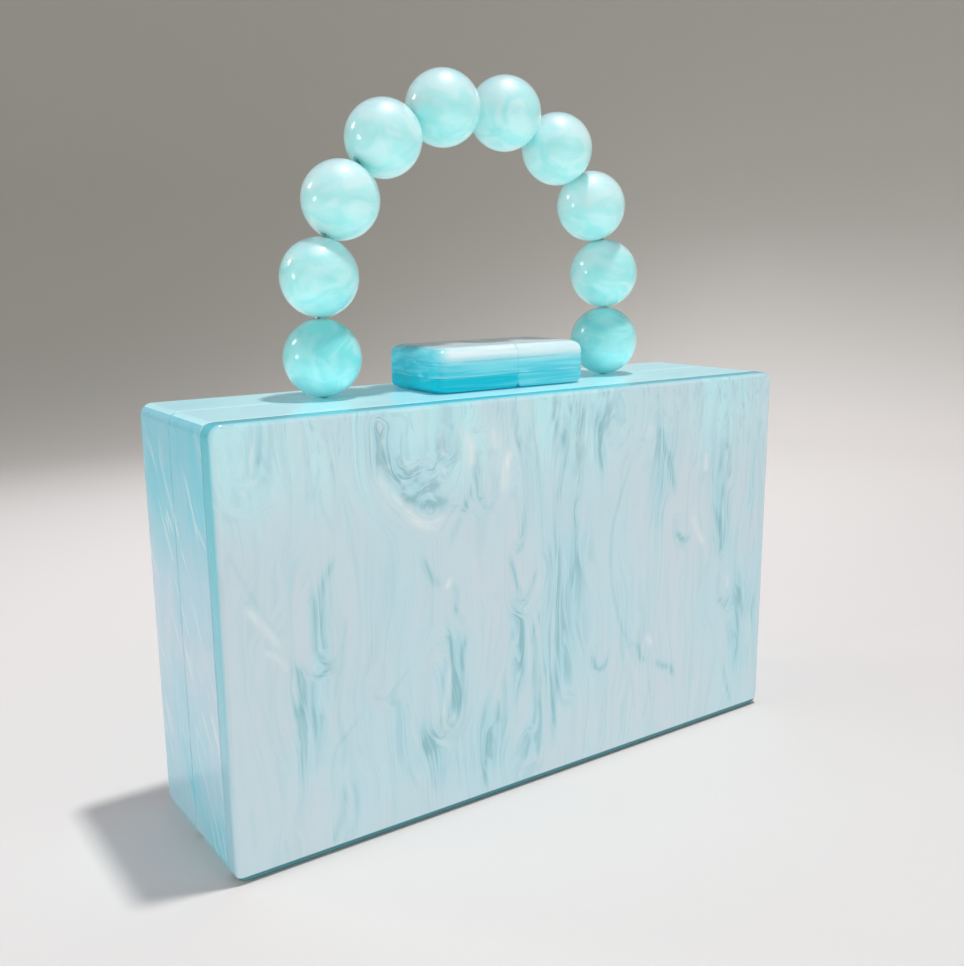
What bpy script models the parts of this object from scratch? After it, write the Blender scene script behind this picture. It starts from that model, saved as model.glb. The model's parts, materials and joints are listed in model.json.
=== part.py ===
"""Box clutch bag in marbled acrylic, with a bead top handle and a two-block clasp.

Lengths are in metres. +Z is up, X runs along the width and the front panel faces -Y.
The origin is the centre of the flat bottom. The box opens on a hinge at the bottom of
its parting plane, so that the top of the front half swings towards -Y.
"""

import math

import bmesh
import bpy
from mathutils import Matrix, Vector

MM = 0.001

# Box
BOX_WIDTH = 200 * MM
BOX_HEIGHT = 121 * MM
BOX_DEPTH = 55 * MM
FRONT_HALF_DEPTH = 30 * MM
WALL = 4 * MM
FRONT_PANEL_THICKNESS = 6 * MM
BACK_WALL_THICKNESS = 5 * MM
CORNER_RADIUS = 3.5 * MM
INNER_CORNER_RADIUS = 1.5 * MM
PANEL_EDGE_RADIUS = 1.2 * MM
BACK_EDGE_RADIUS = 2.5 * MM
RIM_EDGE_RADIUS = 0.5 * MM

# Clearances
JOINT_GAP = 0.3 * MM
HINGE_RUNNING_GAP = 0.25 * MM

# Clasp: two blocks side by side across the parting plane
CLASP_LEFT_END = -26 * MM
CLASP_SPLIT = 3.1 * MM
CLASP_RIGHT_END = 29.4 * MM
CLASP_BEFORE_PARTING = 14.3 * MM
CLASP_BEHIND_PARTING = 14 * MM
CLASP_HEIGHT = 13 * MM
CLASP_FIRST_SEAM = 4.3 * MM
CLASP_SECOND_SEAM = 8.9 * MM
CLASP_SEAM_DEPTH = 0.25 * MM
CLASP_SEAM_WIDTH = 0.6 * MM
CLASP_END_RADIUS = 3 * MM
CLASP_SPLIT_RADIUS = 1 * MM
CLASP_TOP_RADIUS = 2.6 * MM
CLASP_BOTTOM_RADIUS = 0.9 * MM

# Handle: equal round beads that touch each other, in one upright plane.
# Each link joins two bead centres. Its angle is measured from +X, left to right.
BEAD_RADIUS = 11.05 * MM
BEAD_HOLE_RADIUS = 1.6 * MM
LINK_ANGLES_DEG = (90, 70.5, 50.5, 25.5, 0, -24.5, -50, -75, -89)
HANDLE_CENTRE_X = -1 * MM
HANDLE_BEHIND_PARTING = 2.5 * MM
WIRE_RADIUS = 0.75 * MM
WIRE_TAIL = 1 * MM
CRIMP_RADIUS = 2.1 * MM
CRIMP_LENGTH = 3 * MM

# Hinge in the bottom of the box
HINGE_LENGTH = 70 * MM
HINGE_AXIS_HEIGHT = 1.8 * MM
KNUCKLE_COUNT = 5
KNUCKLE_RADIUS = 1.4 * MM
HINGE_PIN_RADIUS = 0.6 * MM
HINGE_PIN_OVERHANG = 0.5 * MM
LEAF_THICKNESS = 0.8 * MM
LEAF_WIDTH = 12 * MM
LEAF_INSET = 0.2 * MM
FINGER_INSET = 0.25 * MM

# Facets
CORNER_STEPS = 4
EDGE_STEPS = 3
BEAD_SIDES = 16
BEAD_RINGS = 10
ROUND_SIDES = 12
WIRE_BEVEL_RESOLUTION = 2
SMOOTH_ANGLE = math.radians(40)

# Cutters pass the walls that they cut by this much
OVERCUT = 2 * MM

# Places that follow from the sizes above
FRONT_Y = -BOX_DEPTH / 2
BACK_Y = BOX_DEPTH / 2
PARTING_Y = FRONT_Y + FRONT_HALF_DEPTH
PANEL_SEAM_Y = FRONT_Y + FRONT_PANEL_THICKNESS
HANDLE_Y = PARTING_Y + HANDLE_BEHIND_PARTING
BEAD_PITCH = 2 * BEAD_RADIUS + JOINT_GAP


def linear(hex_colour):
    """Turn an sRGB hex colour into linear RGBA."""
    channels = []
    for start in (1, 3, 5):
        value = int(hex_colour[start:start + 2], 16) / 255
        channels.append(value / 12.92 if value <= 0.04045 else ((value + 0.055) / 1.055) ** 2.4)
    return (*channels, 1.0)


def make_material(name, hex_colour, roughness, metallic=0.0):
    """One Principled material."""
    material = bpy.data.materials.new(name)
    material.use_nodes = True
    material.diffuse_color = linear(hex_colour)
    shader = material.node_tree.nodes["Principled BSDF"]
    shader.inputs["Base Color"].default_value = linear(hex_colour)
    shader.inputs["Roughness"].default_value = roughness
    shader.inputs["Metallic"].default_value = metallic
    return material


def make_object(name, mesh, material):
    """Link a mesh object and shade its round faces smooth."""
    if material is not None and not mesh.materials:
        mesh.materials.append(material)
    mesh.shade_smooth()
    mesh.set_sharp_from_angle(angle=SMOOTH_ANGLE)
    item = bpy.data.objects.new(name, mesh)
    bpy.context.scene.collection.objects.link(item)
    return item


def loft(name, rings, closed=False):
    """Skin a row of rings with equal numbers of points.

    A closed loft joins its last ring to its first. An open one is capped at both ends.
    """
    shape = bmesh.new()
    loops = [[shape.verts.new(point) for point in ring] for ring in rings]
    pairs = list(zip(loops, loops[1:]))
    if closed:
        pairs.append((loops[-1], loops[0]))
    else:
        shape.faces.new(loops[0])
        shape.faces.new(loops[-1])
    count = len(loops[0])
    for lower, upper in pairs:
        for index in range(count):
            after = (index + 1) % count
            shape.faces.new((lower[index], lower[after], upper[after], upper[index]))
    bmesh.ops.recalc_face_normals(shape, faces=shape.faces)
    mesh = bpy.data.meshes.new(name)
    shape.to_mesh(mesh)
    shape.free()
    return mesh


def rounded_outline(low, high, radii):
    """A rounded rectangle between two corners, counter-clockwise from the lower right.

    The radii are those of the lower right, upper right, upper left and lower left corners.
    """
    signs = ((1, -1), (1, 1), (-1, 1), (-1, -1))
    points = []
    for quarter, ((side_u, side_v), radius) in enumerate(zip(signs, radii)):
        centre_u = (high[0] if side_u > 0 else low[0]) - side_u * radius
        centre_v = (high[1] if side_v > 0 else low[1]) - side_v * radius
        for step in range(CORNER_STEPS + 1):
            angle = math.pi / 2 * (quarter - 1 + step / CORNER_STEPS)
            points.append((centre_u + radius * math.cos(angle), centre_v + radius * math.sin(angle)))
    return points


def circle(radius, sides):
    """Points of a circle about the origin."""
    turns = [2 * math.pi * index / sides for index in range(sides)]
    return [(radius * math.cos(turn), radius * math.sin(turn)) for turn in turns]


def edge_sections(face, inward, radius):
    """(place, inset) of the sections round an edge, from a flat face to the side wall."""
    sections = []
    for step in range(EDGE_STEPS + 1):
        angle = math.pi / 2 * step / EDGE_STEPS
        place = face + inward * radius * (1 - math.cos(angle))
        sections.append((place, radius * (1 - math.sin(angle))))
    return sections


def box_section(y, inset):
    """The box's outline at one depth, drawn in by an inset."""
    low = (-BOX_WIDTH / 2 + inset, inset)
    high = (BOX_WIDTH / 2 - inset, BOX_HEIGHT - inset)
    radius = CORNER_RADIUS - inset
    return [(u, y, v) for u, v in rounded_outline(low, high, [radius] * 4)]


def hollow_section(y):
    """The outline of the space inside the walls at one depth."""
    low = (-BOX_WIDTH / 2 + WALL, WALL)
    high = (BOX_WIDTH / 2 - WALL, BOX_HEIGHT - WALL)
    return [(u, y, v) for u, v in rounded_outline(low, high, [INNER_CORNER_RADIUS] * 4)]


def make_front_panel(material):
    """The thick plate that closes the front."""
    sections = edge_sections(FRONT_Y, 1, PANEL_EDGE_RADIUS)
    sections += reversed(edge_sections(PANEL_SEAM_Y - JOINT_GAP / 2, -1, RIM_EDGE_RADIUS))
    mesh = loft("front_panel", [box_section(y, inset) for y, inset in sections])
    return make_object("front_panel", mesh, material)


def make_front_frame(material):
    """The four-sided wall behind the front panel."""
    seam = PANEL_SEAM_Y + JOINT_GAP / 2
    rim = PARTING_Y - JOINT_GAP / 2
    sections = edge_sections(seam, 1, RIM_EDGE_RADIUS)
    sections += reversed(edge_sections(rim, -1, RIM_EDGE_RADIUS))
    rings = [box_section(y, inset) for y, inset in sections]
    rings += [hollow_section(rim), hollow_section(seam)]
    return make_object("front_frame", loft("front_frame", rings, closed=True), material)


def make_back_shell(material):
    """The back half, one tray open towards the front."""
    rim = PARTING_Y + JOINT_GAP / 2
    sections = edge_sections(rim, 1, RIM_EDGE_RADIUS)
    sections += reversed(edge_sections(BACK_Y, -1, BACK_EDGE_RADIUS))
    rings = [hollow_section(BACK_Y - BACK_WALL_THICKNESS), hollow_section(rim)]
    rings += [box_section(y, inset) for y, inset in sections]
    return make_object("back_shell", loft("back_shell", rings), material)


def clasp_sections():
    """(height, inset) of a clasp block's sections: round edges and two shallow seams."""
    sections = edge_sections(0, 1, CLASP_BOTTOM_RADIUS)
    for seam in (CLASP_FIRST_SEAM, CLASP_SECOND_SEAM):
        sections.append((seam - CLASP_SEAM_WIDTH / 2, 0))
        sections.append((seam, CLASP_SEAM_DEPTH))
        sections.append((seam + CLASP_SEAM_WIDTH / 2, 0))
    sections += reversed(edge_sections(CLASP_HEIGHT, -1, CLASP_TOP_RADIUS))
    return sections


def make_clasp_block(name, left, right, left_radius, right_radius, material):
    """One clasp block, standing on the top of the box."""
    bottom = BOX_HEIGHT + JOINT_GAP
    front = PARTING_Y - CLASP_BEFORE_PARTING
    back = PARTING_Y + CLASP_BEHIND_PARTING
    rings = []
    for height, inset in clasp_sections():
        outline = rounded_outline(
            (left + inset, front + inset),
            (right - inset, back - inset),
            [right_radius, right_radius, left_radius, left_radius],
        )
        rings.append([(u, v, bottom + height) for u, v in outline])
    return make_object(name, loft(name, rings), material)


def make_clasp(material):
    """The two blocks. Each is fixed to one half and reaches over the other."""
    half_gap = JOINT_GAP / 2
    make_clasp_block("clasp_left", CLASP_LEFT_END, CLASP_SPLIT - half_gap,
                     CLASP_END_RADIUS, CLASP_SPLIT_RADIUS, material)
    make_clasp_block("clasp_right", CLASP_SPLIT + half_gap, CLASP_RIGHT_END,
                     CLASP_SPLIT_RADIUS, CLASP_END_RADIUS, material)


def direction(angle_deg):
    """Unit vector in the handle's plane."""
    angle = math.radians(angle_deg)
    return Vector((math.cos(angle), 0, math.sin(angle)))


def bead_centres():
    """Bead centres from left to right. The end beads rest on the top of the box."""
    centres = [Vector((0, HANDLE_Y, BOX_HEIGHT + JOINT_GAP + BEAD_RADIUS))]
    for angle in LINK_ANGLES_DEG:
        centres.append(centres[-1] + BEAD_PITCH * direction(angle))
    shift = HANDLE_CENTRE_X - (centres[0].x + centres[-1].x) / 2
    return [centre + Vector((shift, 0, 0)) for centre in centres]


def wire_bends(centres):
    """Where the wire bends: at the box's top, between the beads and at the top again.

    Between two beads the bend lies on the outer side of the arch, so that the wire runs
    straight through the middle of each bead.
    """
    angles = (90, *LINK_ANGLES_DEG, -90)
    bends = [Vector((centres[0].x, HANDLE_Y, BOX_HEIGHT))]
    for index, (first, second) in enumerate(zip(centres, centres[1:])):
        half_turn = math.radians(angles[index] - angles[index + 2]) / 4
        outward = direction(angles[index + 1] + 90)
        bends.append((first + second) / 2 + outward * BEAD_PITCH / 2 * math.tan(half_turn))
    bends.append(Vector((centres[-1].x, HANDLE_Y, BOX_HEIGHT)))
    return bends


def make_beads(centres, bends, material):
    """The drilled beads. They share one turned mesh, and each hole follows the wire."""
    hole_angle = math.asin(BEAD_HOLE_RADIUS / BEAD_RADIUS)
    rings = []
    for step in range(BEAD_RINGS + 1):
        angle = hole_angle + (math.pi - 2 * hole_angle) * step / BEAD_RINGS
        height = BEAD_RADIUS * math.cos(angle)
        ring = circle(BEAD_RADIUS * math.sin(angle), BEAD_SIDES)
        rings.append([(u, v, height) for u, v in ring])
    mesh = loft("bead", rings, closed=True)
    for index, centre in enumerate(centres):
        bead = make_object(f"bead_{index + 1:02d}", mesh, material)
        hole_axis = bends[index + 1] - bends[index]
        bead.rotation_euler = (0, math.atan2(hole_axis.x, hole_axis.z), 0)
        bead.location = centre


def wire_tail_length():
    """How far each end of the wire reaches below the top of the box."""
    return WALL + JOINT_GAP + CRIMP_LENGTH + WIRE_TAIL


def make_wire(bends, material):
    """The stiff wire through the beads, with both ends inside the back half."""
    down = Vector((0, 0, -wire_tail_length()))
    points = [bends[0] + down, *bends, bends[-1] + down]
    curve = bpy.data.curves.new("handle_wire", "CURVE")
    curve.dimensions = "3D"
    curve.bevel_depth = WIRE_RADIUS
    curve.bevel_resolution = WIRE_BEVEL_RESOLUTION
    curve.use_fill_caps = True
    spline = curve.splines.new("POLY")
    spline.points.add(len(points) - 1)
    for target, point in zip(spline.points, points):
        target.co = (*point, 1)
    curve.materials.append(material)
    wire = bpy.data.objects.new("handle_wire", curve)
    bpy.context.scene.collection.objects.link(wire)


def make_crimp(name, x, material):
    """A hidden sleeve that holds one end of the wire under the top wall."""
    top = BOX_HEIGHT - WALL - JOINT_GAP
    bottom = top - CRIMP_LENGTH
    outer = circle(CRIMP_RADIUS, ROUND_SIDES)
    inner = circle(WIRE_RADIUS + JOINT_GAP, ROUND_SIDES)
    rings = []
    for outline, height in ((outer, bottom), (outer, top), (inner, top), (inner, bottom)):
        rings.append([(x + u, HANDLE_Y + v, height) for u, v in outline])
    make_object(name, loft(name, rings, closed=True), material)


def make_cutter(name, rings):
    """A closed shape that only cuts others."""
    cutter = make_object(name, loft(name, rings), None)
    cutter.hide_render = True
    cutter.display_type = "WIRE"
    return cutter


def cylinder_rings_z(x, y, bottom, top, radius):
    """Rings of an upright cylinder."""
    outline = circle(radius, ROUND_SIDES)
    return [[(x + u, y + v, height) for u, v in outline] for height in (bottom, top)]


def profile_rings_x(left, right, profile):
    """Rings of a prism along X from a profile of (y, z) points."""
    return [[(x, y, z) for y, z in profile] for x in (left, right)]


def apply_boolean(target, other, operation):
    """Add an exact Boolean modifier."""
    modifier = target.modifiers.new(other.name, "BOOLEAN")
    modifier.operation = operation
    modifier.solver = "EXACT"
    modifier.object = other


def cut_parting_groove(halves):
    """A V-groove under the hinge's axis, so that the halves clear each other when opened."""
    depth = HINGE_AXIS_HEIGHT + JOINT_GAP / 2
    reach = depth + OVERCUT
    profile = [(PARTING_Y, depth), (PARTING_Y - reach, -OVERCUT), (PARTING_Y + reach, -OVERCUT)]
    half_width = BOX_WIDTH / 2 + OVERCUT
    groove = make_cutter("cut_groove", profile_rings_x(-half_width, half_width, profile))
    for half in halves:
        apply_boolean(half, groove, "DIFFERENCE")


def cut_hinge_slot(halves):
    """A slot through the bottom walls, where the knuckles lie."""
    half_length = HINGE_LENGTH / 2 + HINGE_PIN_OVERHANG + JOINT_GAP
    half_width = KNUCKLE_RADIUS + JOINT_GAP
    low = -OVERCUT
    high = WALL + OVERCUT
    profile = [(PARTING_Y - half_width, low), (PARTING_Y + half_width, low),
               (PARTING_Y + half_width, high), (PARTING_Y - half_width, high)]
    slot = make_cutter("cut_hinge_slot", profile_rings_x(-half_length, half_length, profile))
    for half in halves:
        apply_boolean(half, slot, "DIFFERENCE")


def cut_wire_hole(name, x, shell):
    """A hole through the top wall for one end of the wire."""
    bottom = BOX_HEIGHT - WALL - OVERCUT
    top = BOX_HEIGHT + OVERCUT
    hole = make_cutter(name, cylinder_rings_z(x, HANDLE_Y, bottom, top, WIRE_RADIUS + JOINT_GAP))
    apply_boolean(shell, hole, "DIFFERENCE")


def finger_profile(side):
    """(y, z) outline of a knuckle and the riser that joins it to its leaf."""
    top = WALL + JOINT_GAP + LEAF_THICKNESS / 2
    start = math.acos(FINGER_INSET / KNUCKLE_RADIUS)
    profile = [(FINGER_INSET, top - HINGE_AXIS_HEIGHT)]
    for step in range(ROUND_SIDES):
        angle = start + (2 * math.pi - start) * step / (ROUND_SIDES - 1)
        profile.append((KNUCKLE_RADIUS * math.cos(angle), KNUCKLE_RADIUS * math.sin(angle)))
    profile.append((KNUCKLE_RADIUS, top - HINGE_AXIS_HEIGHT))
    return [(PARTING_Y + side * across, HINGE_AXIS_HEIGHT + up) for across, up in profile]


def make_leaf(name, side, own_knuckles, bore, material):
    """One hinge leaf: a flat plate on the inner floor, with its knuckles below."""
    low = WALL + JOINT_GAP
    high = low + LEAF_THICKNESS
    inner = PARTING_Y + side * LEAF_INSET
    outer = PARTING_Y + side * LEAF_WIDTH
    profile = [(inner, low), (outer, low), (outer, high), (inner, high)]
    plate = profile_rings_x(-HINGE_LENGTH / 2, HINGE_LENGTH / 2, profile)
    leaf = make_object(name, loft(name, plate), material)
    step = HINGE_LENGTH / KNUCKLE_COUNT
    for index in own_knuckles:
        left = -HINGE_LENGTH / 2 + index * step + JOINT_GAP / 2
        right = left + step - JOINT_GAP
        finger = make_cutter(f"{name}_finger_{index}",
                             profile_rings_x(left, right, finger_profile(side)))
        apply_boolean(leaf, finger, "UNION")
    apply_boolean(leaf, bore, "DIFFERENCE")


def pin_rings(radius, half_length):
    """Rings of a cylinder on the hinge's axis."""
    profile = [(PARTING_Y + u, HINGE_AXIS_HEIGHT + v) for u, v in circle(radius, ROUND_SIDES)]
    return profile_rings_x(-half_length, half_length, profile)


def make_hinge(material):
    """Two leaves with alternate knuckles, and the pin through them."""
    bore_radius = HINGE_PIN_RADIUS + HINGE_RUNNING_GAP
    bore = make_cutter("cut_hinge_bore", pin_rings(bore_radius, HINGE_LENGTH / 2 + OVERCUT))
    make_leaf("hinge_leaf_back", 1, range(0, KNUCKLE_COUNT, 2), bore, material)
    make_leaf("hinge_leaf_front", -1, range(1, KNUCKLE_COUNT, 2), bore, material)
    pin = pin_rings(HINGE_PIN_RADIUS, HINGE_LENGTH / 2 + HINGE_PIN_OVERHANG)
    make_object("hinge_pin", loft("hinge_pin", pin), material)


def carry_on_axis(names):
    """Hang the moving half on an empty that stands on the hinge's axis."""
    axis = bpy.data.objects.new("front_half_axis", None)
    axis.location = (0, PARTING_Y, HINGE_AXIS_HEIGHT)
    bpy.context.scene.collection.objects.link(axis)
    for name in names:
        item = bpy.data.objects[name]
        item.parent = axis
        item.matrix_parent_inverse = Matrix.Translation(axis.location).inverted()


def main():
    """Build the bag."""
    for item in list(bpy.data.objects):
        bpy.data.objects.remove(item)

    panel_acrylic = make_material("marbled_acrylic_panel", "#C6DADF", 0.2)
    frame_acrylic = make_material("marbled_acrylic_frame", "#B4D9E0", 0.2)
    clasp_acrylic = make_material("turquoise_acrylic", "#55CDE0", 0.15)
    bead_acrylic = make_material("pearl_bead_acrylic", "#94DFE2", 0.12)
    steel = make_material("stainless_steel", "#B9BCBE", 0.3, 1.0)
    brass = make_material("brass", "#B99A5B", 0.35, 1.0)

    make_front_panel(panel_acrylic)
    front_frame = make_front_frame(frame_acrylic)
    back_shell = make_back_shell(frame_acrylic)
    make_clasp(clasp_acrylic)
    make_hinge(steel)

    centres = bead_centres()
    bends = wire_bends(centres)
    make_beads(centres, bends, bead_acrylic)
    make_wire(bends, steel)
    make_crimp("wire_crimp_left", centres[0].x, brass)
    make_crimp("wire_crimp_right", centres[-1].x, brass)

    cut_parting_groove((front_frame, back_shell))
    cut_hinge_slot((front_frame, back_shell))
    cut_wire_hole("cut_wire_hole_left", centres[0].x, back_shell)
    cut_wire_hole("cut_wire_hole_right", centres[-1].x, back_shell)
    carry_on_axis(("front_panel", "front_frame", "clasp_left", "hinge_leaf_front"))


main()
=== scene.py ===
"""Fine surfaces, finishes and studio for a box clutch bag in marbled pearl acrylic.

Lengths are in metres unless a name says millimetres. +Z is up, X runs along the width and
the front panel faces -Y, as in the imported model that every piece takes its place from.
"""

import json
import math

import bmesh
import bpy
import numpy as np
from bpy.props import FloatProperty, FloatVectorProperty, IntProperty, PointerProperty
from bpy.types import Operator, Panel, PropertyGroup
from mathutils import Matrix, Vector


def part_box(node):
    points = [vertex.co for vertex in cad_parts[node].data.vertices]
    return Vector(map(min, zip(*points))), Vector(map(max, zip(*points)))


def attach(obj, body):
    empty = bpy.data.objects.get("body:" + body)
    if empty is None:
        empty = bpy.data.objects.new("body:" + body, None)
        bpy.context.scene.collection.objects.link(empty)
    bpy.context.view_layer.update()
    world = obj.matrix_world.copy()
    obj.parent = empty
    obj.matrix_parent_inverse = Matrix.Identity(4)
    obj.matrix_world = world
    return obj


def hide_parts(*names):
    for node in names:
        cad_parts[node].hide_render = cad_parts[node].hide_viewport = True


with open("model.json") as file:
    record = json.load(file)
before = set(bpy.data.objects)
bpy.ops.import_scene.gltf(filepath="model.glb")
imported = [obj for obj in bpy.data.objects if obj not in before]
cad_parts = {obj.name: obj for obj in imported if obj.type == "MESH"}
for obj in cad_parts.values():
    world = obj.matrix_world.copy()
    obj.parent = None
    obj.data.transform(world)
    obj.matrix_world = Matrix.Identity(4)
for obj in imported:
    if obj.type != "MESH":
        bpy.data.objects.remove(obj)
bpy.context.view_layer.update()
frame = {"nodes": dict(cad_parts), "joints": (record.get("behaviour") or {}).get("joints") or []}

bl_info = {
    "name": "Marbled Box Clutch",
    "version": (1, 0, 0),
    "blender": (4, 5, 0),
    "location": "3D View > Sidebar > Clutch",
    "description": "Dresses a rigid acrylic box clutch with a bead top handle and sets a plain studio",
    "category": "Object",
}

MM = 0.001
SMOOTH_ANGLE = math.radians(35)
OVERCUT = 2 * MM

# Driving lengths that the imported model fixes
PANEL_LOW, PANEL_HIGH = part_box("front_panel")
FRAME_LOW, FRAME_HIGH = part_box("front_frame")
SHELL_LOW, SHELL_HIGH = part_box("back_shell")
BEAD_NAMES = [name for name in sorted(frame["nodes"]) if name.startswith("bead_")]
SEAM_GAP = SHELL_LOW.y - FRAME_HIGH.y
BOX_TOP = SHELL_HIGH.z

# Marbling of the front panel, drawn as seen from the front. Each row has the
# half width in millimetres, the strength and the (x, z) points of one fold of dye.
SOFT_BANDS = (
    (4.5, 0.50, ((-54, 121), (-54, 112), (-50, 104), (-44, 98), (-36, 97))),
    (7.0, 0.42, ((-47, 109), (-40, 103), (-33, 104))),
    (3.5, 0.40, ((-35, 115), (-33, 107), (-31.5, 99))),
    (6.0, 0.30, ((-94, 117), (-92, 109), (-88, 103))),
    (2.5, 0.30, ((-88, 121), (-87.5, 116), (-88.5, 110))),
    (2.4, 0.62, ((-71.5, 79), (-73, 72), (-73, 62), (-74, 48), (-76, 36), (-78, 26))),
    (6.0, 0.30, ((-74, 52), (-77, 38), (-76, 24))),
    (7.0, 0.40, ((8, 118), (10, 106), (12, 94), (11, 82))),
    (5.5, 0.36, ((21, 118), (22, 106), (22, 96))),
    (4.0, 0.30, ((-8, 118), (-6, 108), (-5, 98))),
    (7.0, 0.52, ((10, 86), (9, 70), (8, 54), (7, 40), (5, 26))),
    (4.5, 0.55, ((-9, 62), (-7, 50), (-7, 38), (-10, 28))),
    (4.5, 0.60, ((-31, 56), (-32, 46), (-31, 36), (-34, 28))),
    (5.0, 0.45, ((-36, 30), (-40, 24), (-37, 18), (-33, 10))),
    (6.0, 0.38, ((-17, 30), (-19, 20), (-20, 8))),
    (4.5, 0.34, ((-2, 30), (-3, 18), (-4, 6))),
    (4.5, 0.45, ((48, 108), (49, 95), (47, 84), (44, 73))),
    (4.0, 0.45, ((73, 104), (74, 88), (77, 72), (79, 58))),
    (4.5, 0.50, ((88, 50), (88, 38), (86, 26), (89, 14))),
    (3.0, 0.40, ((94, 44), (94, 26), (92, 12))),
    (3.5, 0.30, ((94, 106), (93, 88), (91, 70))),
    (5.0, 0.26, ((-48, 42), (-49, 28), (-47, 14))),
    (3.0, 0.26, ((-3, 104), (-1, 92), (1, 80))),
    (5.0, 0.20, ((30, 60), (34, 44), (38, 30))),
)
STREAKS = (
    (1.3, 0.62, ((-53.5, 112), (-52, 104), (-48, 98.5), (-44.5, 95), (-39, 93.3), (-33.5, 94))),
    (1.1, 0.40, ((-24, 99), (-27, 91.5), (-31, 84.5), (-33, 80))),
    (1.4, 0.40, ((-23.5, 106), (-23, 96), (-20, 90), (-17, 92), (-16.5, 101))),
    (1.2, 0.55, ((-68, 83.5), (-71, 79), (-73, 73), (-73, 62))),
    (1.2, 0.40, ((9, 112), (8.5, 102), (7, 94), (5.5, 86))),
    (1.0, 0.36, ((20.5, 115), (22.5, 105), (24, 94))),
    (1.5, 0.62, ((-5.5, 104), (-5, 93), (-6, 84), (-8.5, 74))),
    (0.9, 0.50, ((-12, 74.5), (-9.5, 67), (-6.5, 59))),
    (0.9, 0.42, ((-2, 68.5), (-4, 63), (-6.5, 58))),
    (1.1, 0.72, ((-10.5, 60.5), (-8, 50.5), (-7, 40), (-8.5, 32), (-10.5, 27))),
    (1.0, 0.36, ((0, 55.5), (-3, 49.5), (-4.5, 44))),
    (1.2, 0.85, ((5.5, 77), (6.5, 65.5), (5.5, 54), (5.5, 41), (5, 28), (4.5, 10))),
    (1.0, 0.42, ((13, 91), (12.5, 80), (13.5, 71), (15, 64))),
    (1.2, 0.36, ((11, 69), (10.5, 56), (9.5, 43))),
    (1.3, 0.45, ((49.5, 102.5), (52.5, 93.5), (55.5, 84))),
    (1.1, 0.42, ((79, 99), (80.5, 93), (80, 86))),
    (1.2, 0.62, ((73, 79), (77, 68), (78.5, 55))),
    (1.1, 0.50, ((76.5, 53), (77.5, 45), (80.5, 41), (83.5, 45))),
    (1.2, 0.60, ((86.5, 53), (89, 43), (91, 33))),
    (0.9, 0.48, ((80.5, 20), (84, 9), (86.5, 2))),
    (1.6, 0.70, ((-80.5, 57), (-79, 52), (-79, 48), (-80.5, 41))),
    (1.1, 0.80, ((-33.5, 56), (-32, 48.5), (-31.5, 38), (-33, 30))),
    (1.1, 0.75, ((-27, 54), (-29, 47), (-29, 37), (-31, 30))),
    (0.9, 0.50, ((-35, 49), (-35, 38), (-34, 29), (-32, 25))),
    (2.2, 0.70, ((-34, 31), (-37, 26.5), (-40.5, 23.5), (-39, 20.5))),
    (1.0, 0.60, ((-16, 31), (-17, 22.5))),
    (1.0, 0.50, ((-18, 24.5), (-20, 17), (-21.5, 7.5), (-21, 1))),
    (1.2, 0.45, ((-68.5, 19.5), (-68.5, 12.5), (-70.5, 6.5), (-72.5, 1.5))),
    (1.0, 0.42, ((-65, 19.5), (-64.5, 10.5), (-66, 2))),
    (1.2, 0.46, ((-42, 79), (-39, 73.5), (-36, 69))),
    (0.9, 0.40, ((-31.5, 70), (-30.5, 65), (-31, 60))),
    (1.1, 0.42, ((56, 71), (60, 67.5), (63, 69.5))),
    (1.0, 0.44, ((20, 37), (22, 31.5), (25, 31), (27, 34.5))),
    (1.2, 0.50, ((36, 37), (39.5, 34.5), (41, 31), (43.5, 29))),
    (1.2, 0.50, ((47.5, 28.5), (51, 25.5), (54.5, 24.5), (57, 20.5))),
)
FINE_LINES = (
    (0.55, 0.60, ((36, 99), (32, 88.5), (28.5, 78), (27.5, 69.5), (28, 59.5), (31, 47.5), (34, 40),
                  (37.5, 32))),
    (0.45, 0.42, ((-58.5, 46), (-57.5, 42), (-54.5, 40.5), (-51.5, 43), (-46, 48))),
    (0.55, 0.40, ((-62, 38), (-66, 34), (-70, 30), (-71.5, 24), (-71.5, 17))),
    (0.60, 0.46, ((-65.5, 66.5), (-67, 57.5), (-68, 49.5))),
    (0.60, 0.32, ((-99, 93.5), (-92.5, 79), (-83.5, 62))),
    (0.60, 0.36, ((-80.5, 41.5), (-80.5, 31.5), (-80, 21))),
    (0.60, 0.36, ((-73, 45), (-75, 34), (-76.5, 24))),
    (0.55, 0.40, ((-48.5, 106.5), (-44.5, 101.5), (-38.5, 98.5), (-33, 99.5))),
    (0.55, 0.34, ((-51, 111), (-47, 104), (-41, 100.5))),
    (0.60, 0.36, ((-28.5, 93.5), (-33, 89), (-36, 85))),
    (0.60, 0.36, ((-33, 22.5), (-31, 14), (-30.5, 5))),
    (0.60, 0.40, ((-44, 24.5), (-40.5, 16.5), (-39, 7))),
    (0.60, 0.30, ((-87.5, 32.5), (-86.5, 24.5), (-85.5, 19))),
    (0.60, 0.28, ((-95, 21.5), (-94.5, 8.5))),
    (0.60, 0.30, ((-86, 9), (-85, 1))),
    (0.55, 0.30, ((46, 23.5), (44.5, 15), (42.5, 8))),
    (0.55, 0.30, ((37.5, 26.5), (39, 13))),
    (0.50, 0.40, ((37.5, 34), (39.5, 27))),
    (0.60, 0.26, ((-58, 58.5), (-60.5, 47.5))),
    (0.60, 0.24, ((-50.5, 79.5), (-51.5, 65.5))),
    (0.60, 0.26, ((-72, 104), (-71.5, 98), (-68, 89))),
)
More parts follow.
